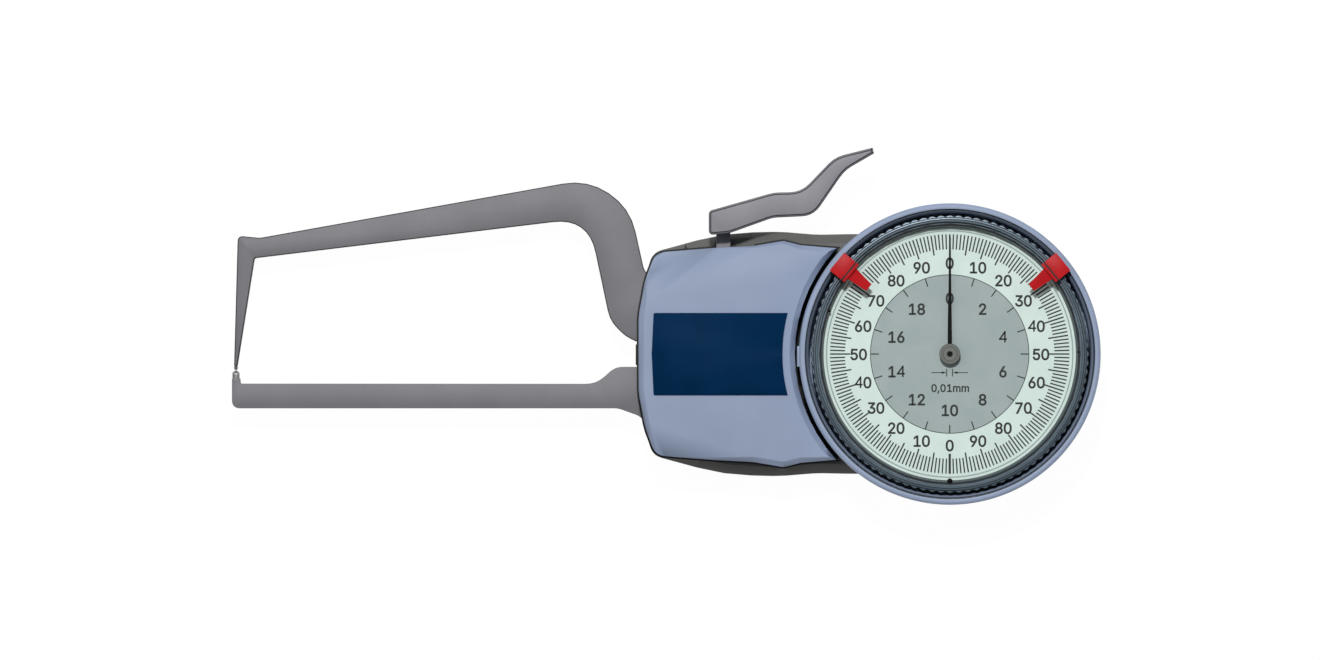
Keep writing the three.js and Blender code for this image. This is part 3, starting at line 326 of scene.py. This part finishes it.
def finish_piece(bm, name, body, material, sharp_degrees=32):
    """The bmesh, in millimetres, as a smooth-shaded piece that rides on its body."""
    bmesh.ops.scale(bm, vec=(MM, MM, MM), verts=bm.verts)
    mesh = bpy.data.meshes.new(name)
    bm.to_mesh(mesh)
    bm.free()
    mesh.polygons.foreach_set("use_smooth", [True] * len(mesh.polygons))
    mesh.set_sharp_from_angle(angle=math.radians(sharp_degrees))
    piece = bpy.data.objects.new(name, mesh)
    bpy.context.scene.collection.objects.link(piece)
    for key in [material] if isinstance(material, str) else material:
        mesh.materials.append(MATERIALS[key])
    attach(piece, body)
    return piece


def node_bmesh(node, merge_mm=0.0005):
    """A CAD solid as a merged bmesh in millimetres."""
    bm = bmesh.new()
    bm.from_mesh(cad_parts[node].data)
    bmesh.ops.scale(bm, vec=(1 / MM, 1 / MM, 1 / MM), verts=bm.verts)
    bmesh.ops.remove_doubles(bm, verts=bm.verts, dist=merge_mm)
    bmesh.ops.dissolve_limit(bm, angle_limit=math.radians(1), verts=bm.verts, edges=bm.edges)
    return bm


def round_edges(bm, sharper_than, bevel_mm, segments, material_index=-1, above=-math.inf):
    """Rounds the edges above a height whose faces turn by more than an angle in degrees."""
    bm.normal_update()
    edges = [e for e in bm.edges if e.is_manifold and e.calc_face_angle() > math.radians(sharper_than)
             and min(vert.co.z for vert in e.verts) > above]
    bmesh.ops.bevel(bm, geom=edges, offset=bevel_mm, offset_type="OFFSET", affect="EDGES",
                    segments=segments, profile=0.5, clamp_overlap=True, material=material_index)


def refined(node, body, material, bevel_mm, segments=2, edge_shade_material=None):
    """A CAD solid with its sharp edges rounded, which stands for the node."""
    bm = node_bmesh(node)
    # Given an edge shade material, the rounded edges take it as painted shade
    round_edges(bm, 38, bevel_mm, segments, 1 if edge_shade_material else -1)
    return finish_refined(bm, node, body, material, edge_shade_material)


def finish_refined(bm, node, body, material, edge_shade_material=None):
    bmesh.ops.triangulate(bm, faces=[f for f in bm.faces if len(f.verts) > 4])
    materials = [material, edge_shade_material] if edge_shade_material else material
    piece = finish_piece(bm, f"{node}_finished", body, materials)
    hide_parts(node)
    return piece


def turned_ring(profile, steps):
    """A closed profile of (radius, height) spun round the dial axis."""
    bm = bmesh.new()
    verts = [bm.verts.new((radius, 0, height)) for radius, height in profile]
    edges = [bm.edges.new((verts[i], verts[(i + 1) % len(verts)])) for i in range(len(verts))]
    bmesh.ops.spin(bm, geom=verts + edges, axis=(0, 0, 1), cent=(0, 0, 0), angle=FULL_TURN,
                   steps=steps, use_merge=True)
    bmesh.ops.remove_doubles(bm, verts=bm.verts, dist=0.0005)
    bmesh.ops.recalc_face_normals(bm, faces=bm.faces)
    return bm


def bar(bm, length, width, height, matrix):
    """Adds a block of these sizes to the bmesh."""
    size = Matrix.Diagonal((length, width, height, 1))
    bmesh.ops.create_cube(bm, size=1, matrix=matrix @ size)


def join(target, source):
    """Adds one bmesh to another and frees it."""
    scratch = bpy.data.meshes.new("scratch")
    source.to_mesh(scratch)
    source.free()
    target.from_mesh(scratch)
    bpy.data.meshes.remove(scratch)


def round_profile(profile, radius, steps=3):
    """A closed profile whose corners are rounded by up to radius."""
    rounded = []
    count = len(profile)
    for i, corner in enumerate(profile):
        here = Vector(corner)
        before = Vector(profile[i - 1]) - here
        after = Vector(profile[(i + 1) % count]) - here
        reach = min(radius, before.length * 0.45, after.length * 0.45)
        start = here + before.normalized() * reach
        end = here + after.normalized() * reach
        for step in range(steps + 1):
            t = step / steps
            rounded.append(start * (1 - t) ** 2 + here * (2 * t * (1 - t)) + end * t ** 2)
    return rounded


def guard_ring():
    """The painted ring round the bezel, with a fine groove just inside its rim, made dark with painted
    shade.
    """
    rim_bevel = 0.45
    inner_top = RING_RADIUS - 1.3
    groove_floor = RING_TOP - 0.9
    profile = [
        (25, 15), (RING_FOOT, 15), (RING_FOOT, RING_BOTTOM), (RING_RADIUS, RING_BOTTOM),
        (RING_RADIUS, RING_TOP - rim_bevel), (RING_RADIUS - rim_bevel, RING_TOP),
        (inner_top + 0.1, RING_TOP), (inner_top, groove_floor), (inner_top - 0.22, groove_floor),
        (inner_top - 0.26, RING_TOP - 0.3), (RING_FOOT + 0.1, 24.4),
        (RING_FOOT, 20), (RING_FOOT, 16.5), (25, 16.5),
    ]
    bm = turned_ring(round_profile(profile, 0.2, 2), 192)
    # The groove's faces take the dark cone finish as painted shade
    for face in bm.faces:
        centre = face.calc_center_median()
        if inner_top - 0.25 < math.hypot(centre.x, centre.y) < inner_top + 0.06 and centre.z > RING_TOP - 1:
            face.material_index = 1
    ring = finish_piece(bm, "dial_guard_ring_finished", "housing", ["ring", "cone"])
    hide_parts("dial_guard_ring")
    guard_ring_lug()


def guard_ring_lug():
    """The small block on the ring's side that faces the front cover."""
    length, width, height = 1.4, 4.4, 11.2
    reach = 0.42
    below_rim = 0.7
    bm = bmesh.new()
    bar(bm, length, width, height, Matrix.Translation((
        length / 2 - RING_RADIUS - reach, -0.5, RING_TOP - below_rim - height / 2)))
    bmesh.ops.bevel(bm, geom=bm.edges[:], offset=0.15, offset_type="OFFSET", affect="EDGES",
                    segments=2, profile=0.5, clamp_overlap=True, material=-1)
    finish_piece(bm, "guard_ring_lug", "housing", "ring")


def bezel_ring():
    """The turned bezel with its waved knurl, the groove on its top and the cone down to the dial."""
    knurl_depth = 0.42
    knurl_floor = 28.95
    knurl_start = 29.2
    profile = [
        (27.1, BEZEL_BOTTOM), (28.75, BEZEL_BOTTOM), (28.75, 23.2), (BEZEL_RADIUS, 23.6),
        (BEZEL_RADIUS, 26.45), (29.3, 26.78), (28.98, 26.8), (28.94, 26.62), (28.88, 26.62),
        (28.82, 26.95), (28.7, BEZEL_TOP), (28.55, BEZEL_TOP), (28.47, 26.72), (28.38, 26.72),
        (28.3, BEZEL_TOP), (28.12, BEZEL_TOP), (27.97, BEZEL_TOP - 0.25), (27.97, 25.85), (27.5, 25.85),
        (27.35, 25.3), (27.15, 25.15), (26.7, 23.05), (27.1, 23.0),
    ]
    bm = turned_ring(profile, KNURL_WAVES * 6)
    ridge_foot = 28.97
    cone_radius = 27.45
    cone_top = 25.9
    # Cone faces take the cone finish; faces in the top grooves and on the knurl's outer crest take it too,
    # as painted shade
    for face in bm.faces:
        centre = face.calc_center_median()
        radius = math.hypot(centre.x, centre.y)
        cone = radius < cone_radius and centre.z < cone_top
        groove = 28.3 < radius < ridge_foot or radius > 29.3
        if face.normal.z > 0.05 and (cone or (groove and 26 < centre.z < BEZEL_TOP - 0.1)):
            face.material_index = 1
    for vert in bm.verts:
        radius = math.hypot(vert.co.x, vert.co.y)
        if radius > knurl_start:
            wave = 0.5 - 0.5 * math.cos(KNURL_WAVES * math.atan2(vert.co.y, vert.co.x))
            depth = knurl_depth * wave * (radius - knurl_floor) / (BEZEL_RADIUS - knurl_floor)
            vert.co.xy *= (radius - depth) / radius
    piece = finish_piece(bm, "bezel_ring_finished", "bezel", ["bezel", "cone"])
    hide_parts("bezel_ring")


def index_pins():
    """The index at the bottom of the dial and two small pins, on the bezel's inner edge."""
    height = 25.0
    pin_radius = 0.32
    pins = [("bezel_zero_nub", 0, -26.9, 0.6), ("bezel_pin_left", -25.5, 9.1, pin_radius),
            ("bezel_pin_right", 27.3, 0.4, pin_radius)]
    for name, x, y, radius in pins:
        bm = bmesh.new()
        bmesh.ops.create_uvsphere(bm, u_segments=20, v_segments=12, radius=radius,
                                  matrix=Matrix.Translation((x, y, height)))
        finish_piece(bm, name, "bezel", "hand")


def crystal():
    """The flat clear disc with a bevelled edge, spun from just beside the axis."""
    middle = 0.001
    bevel = 0.25
    bm = turned_ring([(middle, CRYSTAL_BOTTOM), (CRYSTAL_RADIUS, CRYSTAL_BOTTOM),
                      (CRYSTAL_RADIUS, BEZEL_TOP - bevel), (CRYSTAL_RADIUS - bevel, BEZEL_TOP),
                      (middle, BEZEL_TOP)], 192)
    piece = finish_piece(bm, "crystal_finished", "bezel", "clear")
    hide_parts("crystal")


def dial_plate():
    hole = 1.6
    edge = 0.06
    profile = [(hole, DIAL_TOP - DIAL_THICKNESS), (DIAL_RADIUS, DIAL_TOP - DIAL_THICKNESS),
               (DIAL_RADIUS, DIAL_TOP - edge), (DIAL_RADIUS - edge, DIAL_TOP), (hole, DIAL_TOP)]
    piece = finish_piece(turned_ring(profile, 192), "dial_plate_finished", "bezel", "dial")
    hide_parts("dial_plate")


def printed_ring(name, inner, outer, layer, material):
    low = DIAL_TOP + (layer - 1) * PRINT_THICKNESS
    high = DIAL_TOP + layer * PRINT_THICKNESS
    bm = turned_ring([(inner, low), (outer, low), (outer, high), (inner, high)], 160)
    finish_piece(bm, name, "bezel", material)


def radial_marks(name, marks, layer):
    """Marks are (turns from the top clockwise, inner radius, outer radius, width)."""
    bm = bmesh.new()
    height = DIAL_TOP + (layer - 0.5) * PRINT_THICKNESS
    for turns, inner, outer, width in marks:
        place = Matrix.Rotation(math.pi / 2 - turns * FULL_TURN, 4, "Z")
        shift = Matrix.Translation(((inner + outer) / 2, 0, height))
        bar(bm, outer - inner, width, PRINT_THICKNESS, place @ shift)
    finish_piece(bm, name, "bezel", "ink")


def graduations():
    """200 divisions round the dial, longer at each fifth and broad at the lower zero, and 20 inside."""
    divisions = 200
    outer_end = 25.35
    marks = []
    for i in range(divisions):
        inner = 21.1 if i % 5 == 0 else 22.15
        width = 0.5 if i == divisions // 2 else 0.31 if i % 5 == 0 else 0.29
        marks.append((i / divisions, inner, outer_end, width))
    radial_marks("dial_graduations", marks, 1)
    inner_marks = [(i / 20, 15.0, INNER_DIAL_RADIUS, 0.25) for i in range(20)]
    radial_marks("millimetre_graduations", inner_marks, 2)


def outlined_text(name, text, size):
    """The text as a flat mesh of the given font size, in millimetres."""
    curve = bpy.data.curves.new(name, "FONT")
    curve.font = FIGURE_FONT
    curve.body = text
    curve.size = size
    curve.extrude = PRINT_THICKNESS / 2
    curve.resolution_u = 6
    gain = STROKE_GAIN * size
    curve.bevel_depth = gain
    curve.bevel_resolution = 0
    holder = bpy.data.objects.new(name, curve)
    bpy.context.scene.collection.objects.link(holder)
    bpy.context.view_layer.update()
    flat = bpy.data.meshes.new_from_object(holder.evaluated_get(bpy.context.evaluated_depsgraph_get()))
    bpy.data.objects.remove(holder)
    bm = bmesh.new()
    bm.from_mesh(flat)
    bpy.data.meshes.remove(flat)
    bmesh.ops.remove_doubles(bm, verts=bm.verts, dist=0.001)
    flatten = PRINT_THICKNESS / (PRINT_THICKNESS + 2 * gain)
    bmesh.ops.scale(bm, vec=(1, 1, flatten), verts=bm.verts)
    return bm


def text_span(bm, axis):
    places = [vert.co[axis] for vert in bm.verts]
    return min(places), max(places)


def lettering(name, text, centre, cap_height, layer):
    """Plain print on the dial, made a mesh before it is placed."""
    sample = outlined_text(name, "1", 1)
    low, high = text_span(sample, 1)
    sample.free()
    bm = outlined_text(name, text, cap_height / (high - low))
    left, right = text_span(bm, 0)
    height = DIAL_TOP + (layer - 0.5) * PRINT_THICKNESS
    bmesh.ops.translate(bm, vec=(-(left + right) / 2, -cap_height / 2, height), verts=bm.verts)
    bmesh.ops.scale(bm, vec=(FIGURE_WIDTH, 1, 1), verts=bm.verts)
    bmesh.ops.translate(bm, vec=(centre[0], centre[1], 0), verts=bm.verts)
    return bm


def figure_four(centre, cap_height, layer):
    """The figure 4 as three strokes: the stem, the crossbar and the slope."""
    bm = bmesh.new()
    height = DIAL_TOP + (layer - 0.5) * PRINT_THICKNESS
    stroke = STROKE_SHARE * cap_height
    stem_x = 0.17 * cap_height
    cross_y = -0.21 * cap_height
    left = -0.34 * cap_height
    top = (cap_height - stroke) / 2
    place = Matrix.Translation((centre[0], centre[1], height))
    bar(bm, stroke, cap_height, PRINT_THICKNESS, place @ Matrix.Translation((stem_x, 0, 0)))
    bar(bm, 0.7 * cap_height, stroke, PRINT_THICKNESS, place @ Matrix.Translation((0, cross_y, 0)))
    rise = top - cross_y
    run = stem_x - left - stroke / 2
    slope = Matrix.Rotation(math.atan2(rise, run), 4, "Z")
    middle = Matrix.Translation((left + (run + stroke) / 2, (top + cross_y) / 2, 0))
    bar(bm, math.hypot(rise, run), stroke, PRINT_THICKNESS, place @ middle @ slope)
    return bm


def printed_figures(name, entries, layer):
    """Whole numbers are set figure by figure, other text as one word."""
    joined = bmesh.new()
    for text, (x, y), cap_height in entries:
        signs = list(text) if text.isdigit() else [text]
        advance = FIGURE_ADVANCE * cap_height
        for i, sign in enumerate(signs):
            place = (x + (i - (len(signs) - 1) / 2) * advance, y)
            if sign == "4":
                part = figure_four(place, cap_height, layer)
            else:
                part = lettering(name, sign, place, cap_height, layer)
            join(joined, part)
    finish_piece(joined, name, "bezel", "ink")


def around(radius, turns):
    """The place on a circle, in turns clockwise from the dial's top."""
    angle = math.pi / 2 - turns * FULL_TURN
    return radius * math.cos(angle), radius * math.sin(angle)


def figures():
    cap = 2.45
    outer = [(str(i * 10 % 100), around(19.3, i / 20), cap) for i in range(20)]
    printed_figures("dial_figures", outer, 1)
    inner = [(str(i * 2), around(11.85, i / 10), cap) for i in range(10)]
    unit = [("0,01mm", (0.1, -7.15), 1.68)]
    printed_figures("millimetre_figures", inner + unit, 2)
    division_arrows()


def division_arrows():
    """Two arrows that point at two short lines, for the width of one division."""
    middle_x, middle_y = -0.02, -3.94
    height = DIAL_TOP + 1.5 * PRINT_THICKNESS
    tip_radius = 0.62
    bm = bmesh.new()
    for side in (-1, 1):
        line = Matrix.Translation((side * 2.4 + middle_x, middle_y, height))
        bar(bm, 3.0, 0.18, PRINT_THICKNESS, line)
        stop = Matrix.Translation((side * 0.62 + middle_x, middle_y, height))
        bar(bm, 0.2, 1.6, PRINT_THICKNESS, stop)
        tip = Matrix.Translation((side * 1.35 + middle_x, middle_y, height)) @ Matrix.Rotation(
            math.pi / 2 * side, 4, "Z") @ Matrix.Diagonal((0.5, 1, 1, 1))
        bmesh.ops.create_cone(bm, cap_ends=True, segments=3, radius1=tip_radius, radius2=tip_radius,
                              depth=PRINT_THICKNESS, matrix=tip)
    finish_piece(bm, "division_arrows", "bezel", "ink")


def hand(name, node, body, length, bottom, thickness, widths, hub, bore):
    """A tapered hand; widths are at the hub, at the knee and at the tip."""
    bm = bmesh.new()
    wide, knee, narrow = (w / 2 for w in widths)
    knee_at = length * 0.62
    corners = [(-wide, 0), (wide, 0), (knee, knee_at), (narrow, length), (-narrow, length), (-knee, knee_at)]
    face = bm.faces.new([bm.verts.new((x, y, bottom)) for x, y in corners])
    raised = bmesh.ops.extrude_face_region(bm, geom=[face])
    lifted = [g for g in raised["geom"] if isinstance(g, bmesh.types.BMVert)]
    bmesh.ops.translate(bm, vec=(0, 0, thickness), verts=lifted)
    bmesh.ops.recalc_face_normals(bm, faces=bm.faces)
    bmesh.ops.bevel(bm, geom=bm.edges[:], offset=0.04, offset_type="OFFSET", affect="EDGES",
                    segments=1, profile=0.5, clamp_overlap=True, material=-1)
    top = bottom + thickness
    join(bm, turned_ring([(bore, bottom), (hub, bottom), (hub, top), (bore, top)], 48))
    piece = finish_piece(bm, name, body, "hand")
    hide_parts(node)


def hands():
    hand("millimetre_hand_finished", "mm_hand", "mm_hand", 12.2, 23.3, 0.3, (0.95, 0.8, 0.62), 1.9, 1.06)
    hand("main_hand_finished", "main_hand", "main_hand", 25.3, 24.1, 0.3, (0.9, 0.5, 0.3), 1.9, 0.55)
    profile = [(0.55, 24.4), (2.1, 24.4), (2.2, 24.5), (2.2, 25.05), (2.1, 25.2), (1.75, 25.2), (1.68, 25.1),
               (1.45, 25.1), (1.38, 25.2), (0.6, 25.2), (0.55, 25.1)]
    hub = turned_ring(profile, 72)
    piece = finish_piece(hub, "hand_hub_finished", "main_hand", "turned")
    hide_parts("hand_hub")


def groove_shade_strip():
    """A dark strip in the black rubber finish at the bottom of the groove between front cover and guard
    ring: painted shade for the shadow down in the groove.
    """
    half_angle = math.radians(43)
    inner = RING_RADIUS + 0.02
    outer = RING_RADIUS + 1
    low = RING_BOTTOM + 0.1
    high = RING_BOTTOM + 0.4
    bm = bmesh.new()
    corners = [(inner, low), (outer, low), (outer, high), (inner, high)]
    verts = [bm.verts.new((radius, 0, height)) for radius, height in corners]
    edges = [bm.edges.new((verts[i], verts[(i + 1) % 4])) for i in range(4)]
    bmesh.ops.rotate(bm, verts=verts, cent=(0, 0, 0), matrix=Matrix.Rotation(math.pi - half_angle, 3, "Z"))
    bmesh.ops.spin(bm, geom=verts + edges, axis=(0, 0, 1), cent=(0, 0, 0), angle=2 * half_angle, steps=48)
    bmesh.ops.holes_fill(bm, edges=[e for e in bm.edges if e.is_boundary], sides=4)
    bmesh.ops.recalc_face_normals(bm, faces=bm.faces)
    finish_piece(bm, "ring_groove_shade_strip", "housing", "rubber")


def label():
    refined("label_plate", "housing", "label", 0.08, 1)


def markers():
    """The two markers, each with a dark strip across the top of its cap: painted shade for the groove there.
    """
    groove_shade_radius = 27.65
    groove_shade_width = 0.32
    marker_width = 4.84
    marker_top = BEZEL_TOP + 1.9
    for side, name in ((1, "marker_left"), (-1, "marker_right")):
        refined(name, name, "red", 0.14, 2)
        bm = bmesh.new()
        place = Matrix.Rotation(math.pi / 2 + side * math.radians(MARKER_ANGLE), 4, "Z")
        # The dark strip laid on the cap is painted shade for the groove across it
        groove = place @ Matrix.Translation((groove_shade_radius, 0, marker_top))
        bar(bm, groove_shade_width, marker_width, 0.1, groove)
        finish_piece(bm, f"{name}_groove", name, "rubber")


def front_cover():
    """The die-cast cover: a soft roll round its top face, and below that thin edges made dark with painted
    shade.
    """
    bm = node_bmesh("front_cover", merge_mm=0.25)  # short edges would hold the rounding back
    round_edges(bm, 20, 0.7, 4, above=COVER_TOP - 0.8)
    # The rounded edges below the top take the dark edge finish as painted shade
    round_edges(bm, 40, 0.55, 3, material_index=1, above=COVER_TOP - 1.3)
    finish_refined(bm, "front_cover", "housing", "cover", "cover_edge_shade")


def housing():
    front_cover()
    refined("rear_cover", "housing", "shell", 0.3, 2)
    refined("cover_gasket", "housing", "rubber", 0.12, 2)
    refined("arm_slot_seal", "housing", "rubber", 0.12, 2)


def arms():
    # The rounded edges of the arms and lever take the dark edge finish as painted shade
    refined("fixed_arm", "housing", "arm", 0.22, 2, edge_shade_material="arm_edge_shade")
    refined("movable_arm", "moving_arm", "arm", 0.22, 2, edge_shade_material="arm_edge_shade")
    refined("lifting_lever", "moving_arm", "lever", 0.3, 2, edge_shade_material="arm_edge_shade")
    refined("lever_post", "moving_arm", "arm", 0.25, 2)


# CAD nodes that keep their shape take their finish here
NODE_FINISHES = {
    "brass": ["base_plate", "bridge_plate", "pivot_bush", "toothed_segment", "mm_wheel", "lay_wheel"],
    "arm": ["pivot_carrier"],
    "rubber": ["crystal_gasket"],
    "steel": ["pivot_shaft", "fixed_contact_pin", "movable_contact_tip", "spring_anchor_post",
              "hairspring_stud", "measuring_spring", "hairspring", "spring_hook_pin", "mm_arbor",
              "lay_arbor", "dial_clamp_ring"],
    "oxide": ["main_arbor"],
}


def finish_nodes():
    screws = [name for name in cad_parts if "screw" in name or name.startswith("pillar")]
    finishes = dict(NODE_FINISHES)
    finishes["steel"] = finishes["steel"] + screws
    for key, names in finishes.items():
        for name in names:
            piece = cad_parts[name]
            piece.data.materials.clear()
            piece.data.materials.append(MATERIALS[key])


# Camera, floor and light

def camera():
    distance = 4.0
    sensor = 36
    width = PHOTO_WIDTH / PX_PER_MM * MM
    centre_x = (PHOTO_WIDTH / 2 - DIAL_CENTRE_PX[0]) / PX_PER_MM * MM
    centre_y = (DIAL_CENTRE_PX[1] - PHOTO_HEIGHT / 2) / PX_PER_MM * MM
    reference_height = 20 * MM
    data = bpy.data.cameras.new("camera")
    data.sensor_width = sensor
    data.lens = sensor * distance / width
    data.clip_end = 20
    view = bpy.data.objects.new("camera", data)
    view.location = (centre_x, centre_y, distance + reference_height)
    bpy.context.scene.collection.objects.link(view)
    bpy.context.scene.camera = view


def floor():
    """A white floor: the camera sees it white, with the object's faint shadow."""
    material = bpy.data.materials.new("white_studio_floor")
    material.use_nodes = True
    tree = material.node_tree
    tree.nodes.clear()
    path = add(tree, "ShaderNodeLightPath")
    seen = add(tree, "ShaderNodeMath", {0: path.outputs["Is Camera Ray"], 1: path.outputs["Is Glossy Ray"]},
               operation="MAXIMUM")
    through = add(tree, "ShaderNodeMath", {0: seen.outputs[0], 1: path.outputs["Is Transmission Ray"]},
                  operation="MAXIMUM")
    shadow_share = 0.95
    scaled = add(tree, "ShaderNodeMath", {0: through.outputs[0], 1: shadow_share}, operation="MULTIPLY")
    matt = add(tree, "ShaderNodeBsdfDiffuse", {"Color": (0.9, 0.9, 0.9, 1)})
    glow = add(tree, "ShaderNodeEmission", {"Color": (1, 1, 1, 1), "Strength": 1.03})
    blended = add(tree, "ShaderNodeMixShader", {
        "Fac": scaled.outputs[0], 1: matt.outputs["BSDF"], 2: glow.outputs["Emission"]})
    add(tree, "ShaderNodeOutputMaterial", {"Surface": blended.outputs["Shader"]})
    bm = bmesh.new()
    bmesh.ops.create_grid(bm, x_segments=1, y_segments=1, size=6)
    mesh = bpy.data.meshes.new("studio_floor")
    bm.to_mesh(mesh)
    bm.free()
    mesh.materials.append(material)
    plane = bpy.data.objects.new("studio_floor", mesh)
    bpy.context.scene.collection.objects.link(plane)


def light():
    world = bpy.data.worlds.new("studio")
    bpy.context.scene.world = world
    world.use_nodes = True
    tree = world.node_tree
    tree.nodes.clear()
    path = add(tree, "ShaderNodeLightPath")
    fill = add(tree, "ShaderNodeBackground", {"Color": (1, 1, 1, 1), "Strength": 0.2})
    white = add(tree, "ShaderNodeBackground", {"Color": (1, 1, 1, 1), "Strength": 1})
    blended = add(tree, "ShaderNodeMixShader", {
        "Fac": path.outputs["Is Camera Ray"], 1: fill.outputs["Background"], 2: white.outputs["Background"]})
    add(tree, "ShaderNodeOutputWorld", {"Surface": blended.outputs["Shader"]})
    lamps = [
        ("key_lamp", (-0.07, 0.41, 1.2), 0.08, 10.4),
        ("fill_lamp", (-0.5, 0.5, 1.0), 0.8, 1.5),
    ]
    target = Vector((-0.06, 0, 0.015))
    for name, place, size, watts in lamps:
        data = bpy.data.lights.new(name, "AREA")
        data.size = size
        data.energy = watts
        lamp = bpy.data.objects.new(name, data)
        lamp.location = place
        lamp.rotation_euler = (target - Vector(place)).to_track_quat("-Z", "Y").to_euler()
        bpy.context.scene.collection.objects.link(lamp)


def view_settings():
    bpy.context.scene.view_settings.view_transform = "Standard"


camera()
floor()
light()
view_settings()
finish_nodes()
housing()
guard_ring()
groove_shade_strip()
bezel_ring()
index_pins()
crystal()
dial_plate()
printed_ring("dial_edge_circle", 25.95, 26.2, 1, "faint_ink")
printed_ring("inner_dial_face", 1.7, INNER_DIAL_RADIUS, 1, "inner_dial")
printed_ring("inner_dial_outline", 16.7, 16.85, 2, "ink")
graduations()
figures()
hands()
label()
markers()
arms()
